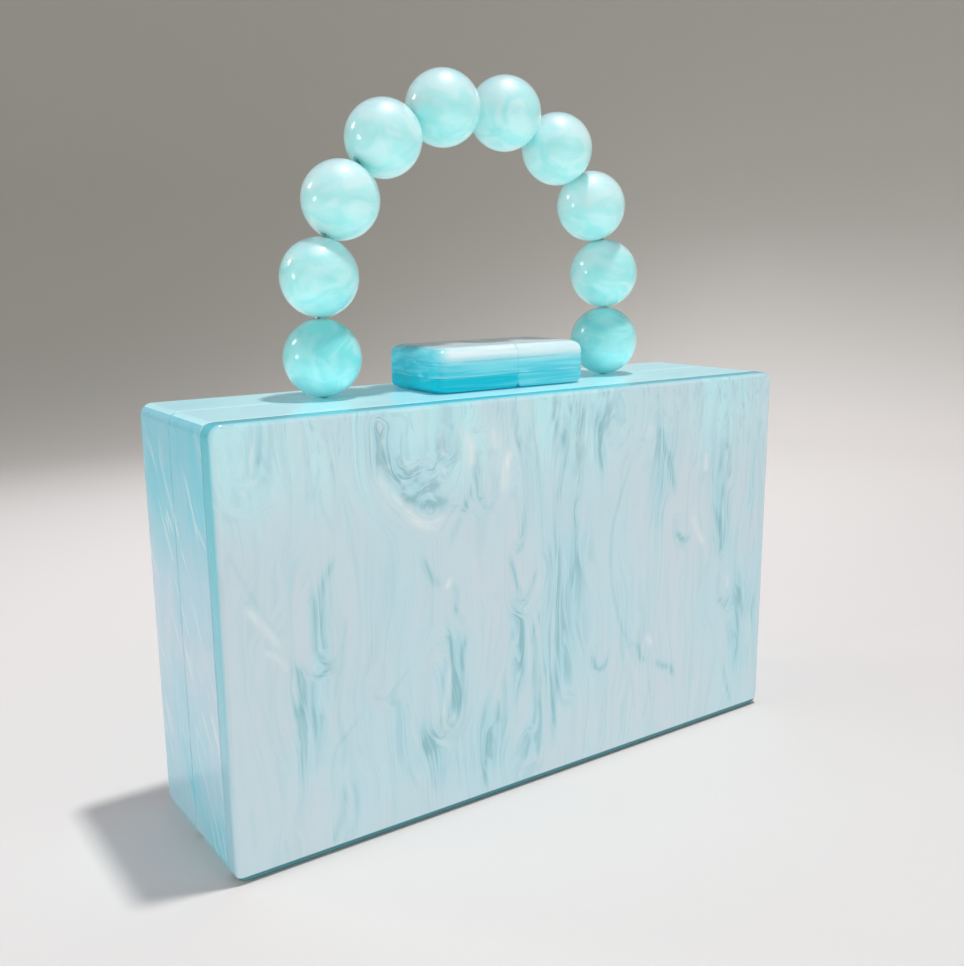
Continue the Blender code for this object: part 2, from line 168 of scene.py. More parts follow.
WHITE_WISPS = (
    (1.6, 0.60, ((-47, 94.5), (-44, 90), (-38.5, 87.5), (-32.5, 89.5))),
    (1.8, 0.70, ((-28, 113.5), (-25.5, 108.5), (-25.5, 101.5))),
    (1.5, 0.80, ((-10.5, 106), (-13, 101.5), (-14, 93))),
    (1.4, 0.60, ((-17, 113.5), (-16, 106))),
    (1.1, 0.42, ((-94, 75), (-89.5, 69.5), (-84, 61.5))),
    (0.8, 0.36, ((-90, 62), (-86, 60), (-82.5, 55))),
    (0.8, 0.80, ((-34, 68.5), (-32, 71.5))),
    (1.4, 0.50, ((-55, 104), (-51, 98), (-47, 93))),
    (1.2, 0.55, ((43.5, 108), (42.5, 103))),
    (1.2, 0.50, ((69, 96.5), (69, 89.5))),
    (1.0, 0.50, ((-33, 46), (-35, 34), (-36, 24))),
    (1.0, 0.50, ((44, 38), (46, 34))),
    (0.9, 0.45, ((81, 52), (82, 47))),
    (1.2, 0.45, ((63, 76), (66, 70), (70, 64))),
)
# The panel's point attributes that hold the strokes
STROKES = {"bands": SOFT_BANDS, "dye": STREAKS, "lines": FINE_LINES, "wisps": WHITE_WISPS}
# Tongues: places where the drawn-out folds turn back in a U. Each row has the centre's
# x and z, the radius of the turn, how far the arms reach up and the strength.
TONGUES = (
    (-40, 108, 15, 16, 1.0),
    (-20, 95, 5, 16, 0.9),
    (-6.5, 62, 5, 18, 0.9),
    (-8, 80, 4, 14, 0.7),
    (-33, 30, 6, 20, 0.8),
    (80, 45, 5, 12, 0.8),
    (59, 71, 4, 6, 0.9),
    (-55, 44, 4.5, 6, 0.7),
    (23, 34, 4, 7, 0.8),
    (-91, 108, 7, 12, 0.7),
    (-73, 60, 6, 20, 0.5),
)

# Folding of the dye: each row pushes the pattern by a soft field. The first three are the
# field's sizes across, along and into the sheet, the last two how far it pushes across and
# along, all in millimetres.
MARBLE_FOLDS = ((30, 66, 24, 11, 16), (10, 30, 12, 4.2, 9), (4, 15, 6, 1.3, 4))
# Layers of the pattern: sizes across, along and into the sheet in millimetres, and detail
MARBLE_LAYERS = {
    "veil": (24, 80, 30, 2),
    "streak": (5, 56, 10, 3),
    "strand": (1.7, 44, 6, 2),
    "line": (3.2, 60, 8, 1),
    "fibre": (0.75, 30, 3, 1),
    "mottle": (2.6, 5, 4, 2),
    "cloud": (40, 48, 30, 3),
}
# Detail of the folding field, and half the width of the ridges, in the pattern's own values
FOLD_DETAIL, RIDGE_WIDTH = 1.5, 0.05
# A stroke is worked out to this many half widths, and fades over these shares of its length
STROKE_REACH, STROKE_FADE = 3, (-0.08, 0.22)
# A tongue fades out between these radii from its middle, and these shares of its arms
TONGUE_SIDES, TONGUE_TOP = (1.7, 0.9), (1.5, 0.5)
# Shares of the panel's edge radius between which the face turns into the cut edge
CUT_START, CUT_END = 0.05, 0.95
# Height of the dark line along the lower edge: the cut edge's deeper teal with painted shade, painted on the
# rounding and on the face just above it
FOOT_SHADE_BAND = 2 * MM
# How far the pattern drifts into the sheet per length across it, so that a tongue's two
# arms aren't mirror images
SHEAR = 0.9
# Where the walls' pattern is cut from, in metres, so that it isn't the panel's
WALL_OFFSET = (0.31, 0.17, 0.05)
# Slant of the walls' flecks against the grain
FLECK_SLANT = math.radians(28)
# Sizes across, along and into the grain in millimetres
FLECK_SIZE, CLASP_STREAK, BEAD_CLOUD = (4.2, 26, 12), (1.6, 30, 7), (11, 11, 7)
# Height of the clasp's deep layer, and of the pale line of bond above it
LOWEST_LAYER_TOP, BOND_HEIGHT = BOX_TOP + 4.5 * MM, BOX_TOP + 4.9 * MM
# A wall faces a way when its normal has more than this of it
FACING = 0.75
# Painted glow, set as emission, that stands in for light that has gone through the whole string of beads and
# leaves them evenly
BEAD_PAINTED_GLOW = 0.07
# Painted glow, set as emission, in the clear sheet of the walls, faint on the sides and stronger on the top
# where the light falls, and at the clasp's left end
SIDE_PAINTED_GLOW, TOP_PAINTED_GLOW, CLASP_END_PAINTED_GLOW = 0.03, 0.14, 0.15
# The backdrop's white, laid over its painted shade, is half gone after this height, and fades out in this
# direction
PAPER_FADE = 0.1
BACKDROP_WAY = (-0.1, 1, 0)
# Places across half of a seam's line, and the share of its depth there
SEAM_LINE = ((-1, 0), (-0.5, 0.35), (0, 1), (0.5, 0.35), (1, 0))
# Share of the clasp's top rounding that is left where the two blocks meet
SPLIT_SHARE = 0.12
# Middle of a bead's broken edge: shares of the lip out from the hole and down it
LIP_OUT, LIP_DOWN = 0.3, 0.15
# Facets of the panel's rear edge, of the wire's holes and of the cove
PANEL_RIM_STEPS, HOLE_SIDES, COVE_SIDES, COVE_STEPS = 3, 32, 96, 12
# Rings of the flat floor, as shares of its radius
COVE_RINGS = (0.02, 0.1, 0.3, 0.55)
# How far the floor lies under the bag, so that the two don't fight for one plane
FLOOR_DROP = 0.2 * MM
SKY_COLOUR = "#ECE2FF"
BAG_MIDDLE = (0, 0, BOX_TOP / 2)
# Lights: target, direction, distance, sides, the setting for the power, and whether the
# acrylic mirrors the light. Equal sides make a round one.
LIGHTS = {
    "key": (BAG_MIDDLE, (0.11, -0.07, 0.99), 1.24, (0.08, 0.08), "key_power", True),
    "front_fill": (BAG_MIDDLE, (0.1, -1, 0.12), 0.6, (0.7, 0.26), "front_power", False),
    "side_fill": (BAG_MIDDLE, (-1, -0.1, 0.12), 0.6, (0.45, 0.26), "side_power", False),
    "floor_light": ((0.28, 0.3, 0), (0, 0, 1), 0.2, (0.8, 0.4), "floor_power", False),
    "window_high": (BAG_MIDDLE, (-0.632, 0.575, 0.52), 0.75, (0.13, 0.13), "window_power", True),
    "window_low": (BAG_MIDDLE, (-0.958, 0.224, 0.177), 0.75, (0.13, 0.13), "window_power", True),
}
# What every colour setting shares
COLOUR = {"subtype": "COLOR", "size": 4, "min": 0, "max": 1}


def linear(hex_colour):
    """Turn an sRGB hex colour into linear RGBA."""
    channels = []
    for start in (1, 3, 5):
        value = int(hex_colour[start:start + 2], 16) / 255
        channels.append(value / 12.92 if value <= 0.04045 else ((value + 0.055) / 1.055) ** 2.4)
    return (*channels, 1.0)


class BoxSettings(PropertyGroup):
    """Radii and fineness of the box."""

    corner_radius: FloatProperty(
        name="Corner radius", description="Round upright and lying corners of the box",
        default=3.5 * MM, min=0.5 * MM, unit="LENGTH")
    inner_corner_radius: FloatProperty(
        name="Inner corner radius", description="Corners of the space inside",
        default=1.5 * MM, min=0.2 * MM, unit="LENGTH")
    wall: FloatProperty(
        name="Wall", description="Thickness of the side walls",
        default=4 * MM, min=1 * MM, unit="LENGTH")
    back_wall: FloatProperty(
        name="Back wall", description="Thickness of the back",
        default=5 * MM, min=1 * MM, unit="LENGTH")
    face_edge_radius: FloatProperty(
        name="Panel edge radius", description="Polished edge round the front panel",
        default=1.5 * MM, min=0.2 * MM, unit="LENGTH")
    back_edge_radius: FloatProperty(
        name="Back edge radius", description="Polished edge round the back",
        default=2.5 * MM, min=0.2 * MM, unit="LENGTH")
    rim_edge_radius: FloatProperty(
        name="Rim edge radius", description="Broken edges along the seams and the parting line",
        default=0.5 * MM, min=0.1 * MM, unit="LENGTH")
    marble_grid: FloatProperty(
        name="Marbling grid", description="Spacing of the points that carry the panel's marbling",
        default=0.57 * MM, min=0.4 * MM, unit="LENGTH")
    corner_steps: IntProperty(
        name="Corner steps", description="Facets in each round corner", default=10, min=2)
    edge_steps: IntProperty(
        name="Edge steps", description="Facets across each round edge", default=6, min=2)


class ClaspSettings(PropertyGroup):
    """Shape of the two clasp blocks."""

    end_radius: FloatProperty(
        name="End radius", description="Upright corners at the outer ends",
        default=3.2 * MM, min=0.5 * MM, unit="LENGTH")
    split_radius: FloatProperty(
        name="Split radius", description="Upright corners where the blocks meet",
        default=0.12 * MM, min=0.1 * MM, unit="LENGTH")
    closing: FloatProperty(
        name="Closing", description="How much each block reaches into the gap between them",
        default=0.14 * MM, min=0, unit="LENGTH")
    top_radius: FloatProperty(
        name="Top radius", description="Round edge along the top",
        default=2.8 * MM, min=0.5 * MM, unit="LENGTH")
    foot_radius: FloatProperty(
        name="Foot radius", description="Round edge along the front and back of the foot",
        default=0.9 * MM, min=0.2 * MM, unit="LENGTH")
    foot_end_radius: FloatProperty(
        name="Foot end radius", description="Round edge at the ends of the foot",
        default=2 * MM, min=0.2 * MM, unit="LENGTH")
    first_seam: FloatProperty(
        name="First seam", description="Height of the seam above the lowest layer",
        default=4.3 * MM, unit="LENGTH")
    second_seam: FloatProperty(
        name="Second seam", description="Height of the seam below the top layer",
        default=8.9 * MM, unit="LENGTH")
    seam_depth: FloatProperty(
        name="Seam depth", description="Depth of the line between two layers",
        default=0.14 * MM, unit="LENGTH")
    seam_width: FloatProperty(
        name="Seam width", description="Width of the line between two layers",
        default=0.5 * MM, unit="LENGTH")
    corner_steps: IntProperty(
        name="Corner steps", description="Facets in each round corner", default=12, min=2)
    edge_steps: IntProperty(
        name="Edge steps", description="Facets across each round edge", default=10, min=2)


class BeadSettings(PropertyGroup):
    """Shape of the handle's beads."""

    radius: FloatProperty(
        name="Radius", description="Radius of each bead",
        default=11.16 * MM, min=2 * MM, unit="LENGTH")
    hole_radius: FloatProperty(
        name="Hole radius", description="Radius of the drilled hole",
        default=1.3 * MM, min=0.3 * MM, unit="LENGTH")
    lip: FloatProperty(
        name="Lip", description="Broken edge round the mouth of the hole",
        default=0.35 * MM, min=0.05 * MM, unit="LENGTH")
    sides: IntProperty(name="Sides", description="Facets round each bead", default=96, min=16)
    rings: IntProperty(name="Rings", description="Facets from pole to pole", default=56, min=8)


class FinishSettings(PropertyGroup):
    """Colours of the finishes."""

    pearl_ground: FloatVectorProperty(
        name="Pearl ground", description="Pale grey-blue of the front sheet",
        default=linear("#CDDFE6"), **COLOUR)
    pearl_mint: FloatVectorProperty(
        name="Pearl mint", description="Greener parts of the front sheet",
        default=linear("#C6E1E9"), **COLOUR)
    # Partly the sheet's own aqua tint near the top, partly painted light where the light falls into the
    # sheet
    pearl_crown_and_painted_light: FloatVectorProperty(
        name="Pearl crown", description="Bright aqua near the top, where light falls into the sheet",
        default=linear("#C4F3F7"), **COLOUR)
    marble_veil: FloatVectorProperty(
        name="Marbling veil", description="Thin turquoise dye",
        default=linear("#AADEE8"), **COLOUR)
    marble_thin: FloatVectorProperty(
        name="Marbling streak", description="Thin grey-blue dye",
        default=linear("#AAD4DD"), **COLOUR)
    marble_deep: FloatVectorProperty(
        name="Marbling core", description="Dense grey-blue dye",
        default=linear("#90C3CB"), **COLOUR)
    wisp: FloatVectorProperty(
        name="Pearl wisp", description="Folds with no dye and much pearl pigment",
        default=linear("#E9F2F2"), **COLOUR)
    cut_edge: FloatVectorProperty(
        name="Cut edge", description="Sheet seen along its length, where the dye adds up",
        default=linear("#68D2E0"), **COLOUR)
    cut_edge_low: FloatVectorProperty(
        name="Cut edge, low", description="Paler part of the cut edge near the bottom",
        default=linear("#AAD8E6"), **COLOUR)
    # Partly the cut edge's deeper teal, partly painted shade where the lower edge faces the floor
    cut_foot_and_painted_shade: FloatVectorProperty(
        name="Lower edge", description="Polished lower edge of the front sheet",
        default=linear("#3A7F88"), **COLOUR)
    wall_ground: FloatVectorProperty(
        name="Wall ground", description="Light aqua of the side walls",
        default=linear("#CCE0EC"), **COLOUR)
    # Painted light: the top faces take this lighter colour than the walls, where the overhead light falls on
    # them
    top_ground_painted_light: FloatVectorProperty(
        name="Top ground", description="Light aqua of the top, where the light falls on it",
        default=linear("#D6FCFF"), **COLOUR)
    wall_deep: FloatVectorProperty(
        name="Wall dye", description="Denser turquoise of the side walls",
        default=linear("#86DAEA"), **COLOUR)
    wall_fleck: FloatVectorProperty(
        name="Wall fleck", description="Bright pearl flecks in the side walls",
        default=linear("#F2FAFC"), **COLOUR)
    clasp_deep: FloatVectorProperty(
        name="Clasp dye", description="Saturated turquoise of the clasp",
        default=linear("#00C6DA"), **COLOUR)
    clasp_light: FloatVectorProperty(
        name="Clasp streak", description="Lighter streaks in the clasp",
        default=linear("#8EE8F2"), **COLOUR)
    # Partly the top layer's pearl, partly painted glare where the light catches the top
    clasp_pearl: FloatVectorProperty(
        name="Clasp pearl", description="Pearl layer at the clasp's top",
        default=linear("#F4FEFF"), **COLOUR)
    bead_deep: FloatVectorProperty(
        name="Bead dye", description="Saturated aqua in the beads",
        default=linear("#76E2E2"), **COLOUR)
    # Partly the beads' pearly clouds, partly painted light on their upper halves and on the higher beads
    bead_pearl: FloatVectorProperty(
        name="Bead pearl", description="Pearly mint clouds in the beads",
        default=linear("#D8FCFA"), **COLOUR)
    steel: FloatVectorProperty(
        name="Steel", description="Hinge and handle wire",
        default=linear("#B9BCBE"), **COLOUR)
    brass: FloatVectorProperty(
        name="Brass", description="Sleeves on the wire's ends",
        default=linear("#C9A65E"), **COLOUR)
    paper: FloatVectorProperty(
        name="Floor", description="Pale floor",
        default=linear("#EFECE8"), **COLOUR)
    # Painted shade: the grey painted on the backdrop behind and above the bag, where less light reaches it
    backdrop_painted_shade: FloatVectorProperty(
        name="Backdrop", description="Grey of the backdrop",
        default=linear("#A3A298"), **COLOUR)


class StageSettings(PropertyGroup):
    """Camera, lights and backdrop."""

    camera_azimuth: FloatProperty(
        name="Camera azimuth", description="Turn of the camera round the bag",
        default=math.radians(-34.634), subtype="ANGLE")
    camera_elevation: FloatProperty(
        name="Camera elevation", description="Height of the camera above the horizon",
        default=math.radians(11.742), subtype="ANGLE")
    camera_roll: FloatProperty(
        name="Camera roll", description="Turn of the camera about its own axis",
        default=math.radians(-0.549), subtype="ANGLE")
    camera_distance: FloatProperty(
        name="Camera distance", description="From the camera to the point it looks at",
        default=0.329112, unit="LENGTH")
    camera_target: FloatVectorProperty(
        name="Camera target", description="Point the camera looks at",
        default=(-0.00246, 0, 0.09037), subtype="TRANSLATION")
    focal_length: FloatProperty(
        name="Focal length", description="For a 36 mm sensor", default=38.87, unit="CAMERA")
    cove_radius: FloatProperty(
        name="Floor radius", description="From the bag to the round wall of the cove",
        default=0.9, unit="LENGTH")
    cove_curve: FloatProperty(
        name="Cove curve", description="Radius of the sweep from floor to wall",
        default=0.25, unit="LENGTH")
    cove_height: FloatProperty(
        name="Cove height", description="Height of the round wall", default=0.6, unit="LENGTH")
    sky: FloatProperty(
        name="Sky", description="Strength of the soft light from all over the cove",
        default=0.225, min=0)
    key_power: FloatProperty(
        name="Key", description="Power of the lamp overhead",
        default=8.9, min=0, unit="POWER")
    front_power: FloatProperty(
        name="Front fill", description="Power of the large low light in front",
        default=1.33, min=0, unit="POWER")
    side_power: FloatProperty(
        name="Side fill", description="Power of the large low light on the left",
        default=0.5, min=0, unit="POWER")
    floor_power: FloatProperty(
        name="Floor light", description="Power of the light on the floor behind the bag",
        default=0.36, min=0, unit="POWER")
    window_power: FloatProperty(
        name="Windows", description="Power of each of the two small lights on the left",
        default=0.35, min=0, unit="POWER")


def add_node(tree, kind, inputs=None, **settings):
    """Add one node, set its properties, and set or link each input.

    Where an input is given a node, it is linked to that node's first result in use.
    """
    node = tree.nodes.new(kind)
    for name, value in settings.items():
        setattr(node, name, value)
    for key, value in (inputs or {}).items():
        if isinstance(value, bpy.types.Node):
            value = next(result for result in value.outputs if result.enabled)
        if isinstance(value, bpy.types.NodeSocket):
            tree.links.new(value, node.inputs[key])
        else:
            node.inputs[key].default_value = value
    return node


def start_material(name):
    """An empty node material and its tree."""
    material = bpy.data.materials.new(name)
    material.use_nodes = True
    material.node_tree.nodes.clear()
    return material, material.node_tree


def smooth_step(value, low, high):
    """Numpy smoothstep from 0 at low to 1 at high."""
    share = np.clip((value - low) / (high - low), 0, 1)
    return share * share * (3 - 2 * share)


def add_ring(points, ring):
    """Add a ring of points and return their indices."""
    first = len(points)
    points.extend(ring)
    return list(range(first, len(points)))


def circle(radius, sides):
    """Points of a circle, counter-clockwise from +X."""
    turns = [2 * math.pi * index / sides for index in range(sides)]
    return [(radius * math.cos(turn), radius * math.sin(turn)) for turn in turns]


def bridge(faces, first, second):
    """Skin between two rings. Where one ring repeats a point, the face is a triangle."""
    count = len(first)
    for index in range(count):
        after = (index + 1) % count
        corners = (first[index], first[after], second[after], second[index])
        faces.append(tuple(dict.fromkeys(corners)))


def build_mesh(name, points, faces):
    """A smooth-shaded mesh whose faces point out."""
    mesh = bpy.data.meshes.new(name)
    mesh.from_pydata(points, [], faces)
    shape = bmesh.new()
    shape.from_mesh(mesh)
    bmesh.ops.recalc_face_normals(shape, faces=shape.faces)
    shape.to_mesh(mesh)
    shape.free()
    mesh.shade_smooth()
    mesh.set_sharp_from_angle(angle=SMOOTH_ANGLE)
    return mesh


def loft(name, rings, closed=False):
    """Skin a row of rings. An open loft is capped at both ends."""
    points, faces = [], []
    loops = [add_ring(points, ring) for ring in rings]
    for first, second in zip(loops, loops[1:]):
        bridge(faces, first, second)
    if closed:
        bridge(faces, loops[-1], loops[0])
    else:
        faces.append(tuple(loops[0]))
        faces.append(tuple(loops[-1]))
    return build_mesh(name, points, faces)


def place_piece(name, mesh, material, node, body):
    """Link a piece that stands for a CAD node and rides on its body."""
    mesh.materials.clear()
    mesh.materials.append(material)
    piece = bpy.data.objects.new(name, mesh)
    bpy.context.scene.collection.objects.link(piece)
    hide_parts(node)
    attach(piece, body)
    return piece


def even_normals(piece):
    """Keep flat faces flat where they run into round edges."""
    modifier = piece.modifiers.new("even_normals", "WEIGHTED_NORMAL")
    modifier.keep_sharp = True


def outline(low, high, radii, columns, rows, corner_steps):
    """Points of a rounded rectangle, counter-clockwise from its lower right corner.

    The radii are those of the lower right, upper right, upper left and lower left corners.
    Straight sides have evenly spaced points between the corners.
    """
    signs = ((1, -1), (1, 1), (-1, 1), (-1, -1))
    arcs = []
    for quarter, ((side_u, side_v), radius) in enumerate(zip(signs, radii)):
        centre_u = (high[0] if side_u > 0 else low[0]) - side_u * radius
        centre_v = (high[1] if side_v > 0 else low[1]) - side_v * radius
        turns = [math.pi / 2 * (quarter - 1 + step / corner_steps) for step in range(corner_steps + 1)]
        arcs.append([(centre_u + radius * math.cos(t), centre_v + radius * math.sin(t)) for t in turns])
    points = []
    for quarter, arc in enumerate(arcs):
        points.extend(arc)
        steps = rows if quarter % 2 == 0 else columns
        start, end = Vector(arc[-1]), Vector(arcs[(quarter + 1) % 4][0])
        points.extend(tuple(start.lerp(end, step / steps)) for step in range(1, steps))
    return points


def edge_profile(face, inward, radius, steps):
    """(place, inset) of the sections round an edge, from a flat face to the side wall."""
    turns = [math.pi / 2 * step / steps for step in range(steps + 1)]
    return [(face + inward * radius * (1 - math.cos(t)), radius * (1 - math.sin(t))) for t in turns]


def smooth_path(points, step=1.2):
    """A finely divided Catmull-Rom curve through a few points, as an array."""
    knots = [Vector(point) for point in points]
    knots = [2 * knots[0] - knots[1], *knots, 2 * knots[-1] - knots[-2]]
    path = []
    for before, start, end, after in zip(knots, knots[1:], knots[2:], knots[3:]):
        count = max(2, round((end - start).length / step))
        for index in range(count):
            t = index / count
            path.append(0.5 * (2 * start + (end - before) * t
                               + (2 * before - 5 * start + 4 * end - after) * t ** 2
                               + (3 * start - before - 3 * end + after) * t ** 3))
    path.append(knots[-2])
    return np.array([tuple(point) for point in path])


def paint_strokes(place, strokes):
    """How much of the strokes' pigment is at each place. Strokes fade towards their ends."""
    clear = np.ones(len(place))
    for half_width, strength, points in strokes:
        path = smooth_path(points)
        reach = STROKE_REACH * half_width
        low, high = path.min(axis=0) - reach, path.max(axis=0) + reach
        near = np.flatnonzero(np.all((place > low) & (place < high), axis=1))
        spot = place[near]
        best = np.full(len(near), np.inf)
        along = np.zeros(len(near))
        last = len(path) - 1
        for index, (start, end) in enumerate(zip(path, path[1:])):
            reach_vector = end - start
            share = np.clip((spot - start) @ reach_vector / (reach_vector @ reach_vector), 0, 1)
            distance = np.linalg.norm(spot - start - share[:, None] * reach_vector, axis=1)
            closer = distance < best
            best[closer] = distance[closer]
            along[closer] = (index + share[closer]) / last
        fade = smooth_step(np.minimum(along, 1 - along), *STROKE_FADE)
        clear[near] *= 1 - strength * fade * np.exp(-(best / half_width) ** 2)
    return 1 - clear


def marble_flow(place):
    """Across and along the drawn-out folds, in millimetres, for each place on the panel.

    Away from the tongues the folds hang straight down. In a tongue they are nested U shapes
    that run down one arm and up the other.
    """
    across, along = place[:, 0].copy(), place[:, 1].copy()
    for centre_x, centre_z, radius, arm, strength in TONGUES:
        x, z = place[:, 0] - centre_x, place[:, 1] - centre_z
        bend = np.hypot(x, np.minimum(z, 0))
        turn = np.where(z < 0, np.arctan2(x, -z) * radius, np.sign(x) * radius * math.pi / 2)
        weight = strength * smooth_step(bend / radius, *TONGUE_SIDES)
        weight *= smooth_step(z / arm, *TONGUE_TOP)
        across += weight * (centre_x + bend - across)
        along += weight * (centre_z + turn + np.sign(x) * np.maximum(z, 0) - along)
    return across, along


def add_attribute(mesh, name, kind, values):
    """Store one value for each point of a mesh."""
    attribute = mesh.attributes.new(name, kind, "POINT")
    field = "vector" if kind == "FLOAT_VECTOR" else "value"
    attribute.data.foreach_set(field, np.asarray(values, np.float32).ravel())


def paint_panel(mesh, box):
    """Give the front panel its marbling and its cut edges."""
    co = np.zeros(len(mesh.vertices) * 3)
    mesh.vertices.foreach_get("co", co)
    co = co.reshape(-1, 3)
    place = co[:, (0, 2)] / MM
    across, along = marble_flow(place)
    depth = co[:, 1] - PANEL_LOW.y
    layer = depth + SHEAR * co[:, 0]
    add_attribute(mesh, "flow", "FLOAT_VECTOR", np.stack((across * MM, along * MM, layer), axis=1))
    for name, strokes in STROKES.items():
        add_attribute(mesh, name, "FLOAT", paint_strokes(place, strokes))
    share = depth / box.face_edge_radius
    add_attribute(mesh, "cut", "FLOAT", smooth_step(share, CUT_START, CUT_END))


def box_ring(box, y, inset, radius, columns=1, rows=1):
    """The box's outline at one depth, drawn in by the inset, with round corners."""
    low = (SHELL_LOW.x + inset, SHELL_LOW.z + inset)
    high = (SHELL_HIGH.x - inset, SHELL_HIGH.z - inset)
    return [(u, y, v) for u, v in outline(low, high, [radius] * 4, columns, rows, box.corner_steps)]


def panel_mesh(box):
    """The front plate: an even grid for the marbling inside rounded edges."""
    columns = round((PANEL_HIGH.x - PANEL_LOW.x) / box.marble_grid)
    rows = round((PANEL_HIGH.z - PANEL_LOW.z) / box.marble_grid)
    radius = box.corner_radius
    points, faces = [], []
    xs = np.linspace(PANEL_LOW.x + radius, PANEL_HIGH.x - radius, columns + 1)
    zs = np.linspace(PANEL_LOW.z + radius, PANEL_HIGH.z - radius, rows + 1)
    grid = [add_ring(points, [(x, PANEL_LOW.y, z) for x in xs]) for z in zs]
    for lower, upper in zip(grid, grid[1:]):
        for column in range(columns):
            faces.append((lower[column], lower[column + 1], upper[column + 1], upper[column]))
    border = [grid[0][-1]] * (box.corner_steps + 1) + [row[-1] for row in grid[1:-1]]
    border += [grid[-1][-1]] * (box.corner_steps + 1) + grid[-1][-2:0:-1]
    border += [grid[-1][0]] * (box.corner_steps + 1) + [row[0] for row in grid[-2:0:-1]]
    border += [grid[0][0]] * (box.corner_steps + 1) + grid[0][1:-1]
    sections = edge_profile(PANEL_LOW.y, 1, box.face_edge_radius, box.edge_steps)
    sections += reversed(edge_profile(PANEL_HIGH.y, -1, box.rim_edge_radius, PANEL_RIM_STEPS))
    for y, inset in sections:
        ring = add_ring(points, box_ring(box, y, inset, radius - inset, columns, rows))
        bridge(faces, border, ring)
        border = ring
    faces.append(tuple(border))
    return build_mesh("front_panel_sheet", points, faces)


def wall_rings(box, front, back, back_radius):
    """Rings of a wall's outside, from its front edge to its back edge."""
    sections = edge_profile(front, 1, box.rim_edge_radius, box.edge_steps)
    sections += reversed(edge_profile(back, -1, back_radius, box.edge_steps))
    return [box_ring(box, y, inset, box.corner_radius - inset) for y, inset in sections]


def hollow_rings(box, *depths):
    """Rings of the space inside the walls."""
    return [box_ring(box, y, box.wall, box.inner_corner_radius) for y in depths]


def cut_away(piece, cutters):
    """Cut closed shapes out of a piece and keep the result as its mesh."""
    for number, mesh in enumerate(cutters):
        cutter = bpy.data.objects.new(f"cutter_{number}", mesh)
        bpy.context.scene.collection.objects.link(cutter)
        modifier = piece.modifiers.new("cut", "BOOLEAN")
        modifier.operation = "DIFFERENCE"
        modifier.solver = "EXACT"
        modifier.object = cutter
        whole = piece.evaluated_get(bpy.context.evaluated_depsgraph_get())
        result = bpy.data.meshes.new_from_object(whole)
        piece.modifiers.clear()
        piece.data = result
        bpy.data.objects.remove(cutter)
    piece.data.set_sharp_from_angle(angle=SMOOTH_ANGLE)


def hinge_cutters():
    """The V-groove under the hinge's axis and the slot that its knuckles lie in."""
    axis = Vector(frame["joints"][0]["pos_m"])
    depth = axis.z + SEAM_GAP / 2
    reach = depth + OVERCUT
    groove = ((axis.y, depth), (axis.y - reach, -OVERCUT), (axis.y + reach, -OVERCUT))
    half_width = SHELL_HIGH.x + OVERCUT
    pin_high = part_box("hinge_pin")[1]
    knuckle_low, knuckle_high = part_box("hinge_leaf_back")
    side = axis.z - knuckle_low.z + SEAM_GAP
    top = knuckle_high.z + OVERCUT
    left, right = axis.y - side, axis.y + side
    slot = ((left, -OVERCUT), (right, -OVERCUT), (right, top), (left, top))
    half_length = pin_high.x + SEAM_GAP
    shapes = (("groove", groove, half_width), ("slot", slot, half_length))
    return [
        loft(name, [[(x, y, z) for y, z in profile] for x in (-half, half)])
        for name, profile, half in shapes
    ]


def hole_cutters():
    """Upright holes for the two ends of the handle's wire."""
    wire_low, wire_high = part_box("handle_wire")
    radius = (wire_high.y - wire_low.y) / 2 + SEAM_GAP
    meshes = []
    for name in ("wire_crimp_left", "wire_crimp_right"):
        low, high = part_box(name)
        centre = (low + high) / 2
        levels = (high.z - OVERCUT, BOX_TOP + OVERCUT)
        rings = [[(centre.x + u, centre.y + v, z) for u, v in circle(radius, HOLE_SIDES)] for z in levels]
        meshes.append(loft(name + "_hole", rings))
    return meshes


def clasp_sections(clasp, height):
    """(height, inset along the front and back, inset at the ends) of a block's sections."""
    sections = []
    for step in range(clasp.edge_steps + 1):
        turn = math.pi / 2 * step / clasp.edge_steps
        z = clasp.foot_end_radius * (1 - math.cos(turn))
        inset = 0
        if z < clasp.foot_radius:
            rise = clasp.foot_radius - z
            inset = clasp.foot_radius - math.sqrt(clasp.foot_radius ** 2 - rise ** 2)
        sections.append((z, inset, clasp.foot_end_radius * (1 - math.sin(turn))))
    half = clasp.seam_width / 2
    for seam in (clasp.first_seam, clasp.second_seam):
        for offset, share in SEAM_LINE:
            sections.append((seam + offset * half, clasp.seam_depth * share, clasp.seam_depth * share))
    top = edge_profile(height, -1, clasp.top_radius, clasp.edge_steps)
    sections += [(z, inset, inset) for z, inset in reversed(top)]
    return sections


def clasp_mesh(name, clasp, outer_is_left):
    """One block of the clasp in three bonded layers."""
    low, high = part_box(name)
    if outer_is_left:
        high.x += clasp.closing
    else:
        low.x -= clasp.closing
    ends, split = clasp.end_radius, clasp.split_radius
    radii = (split, split, ends, ends) if outer_is_left else (ends, ends, split, split)
    rings = []
    for z, side_inset, end_inset in clasp_sections(clasp, high.z - low.z):
        left = end_inset if z < clasp.first_seam or outer_is_left else side_inset
        right = end_inset if z < clasp.first_seam or not outer_is_left else side_inset
        top_inset = z > clasp.second_seam + clasp.seam_width
        if top_inset and outer_is_left:
            right = side_inset * SPLIT_SHARE
        if top_inset and not outer_is_left:
            left = side_inset * SPLIT_SHARE
        ring = outline((low.x + left, low.y + side_inset), (high.x - right, high.y - side_inset),
                       radii, 1, 1, clasp.corner_steps)
        rings.append([(u, v, low.z + z) for u, v in ring])
    return loft(name + "_block", rings)


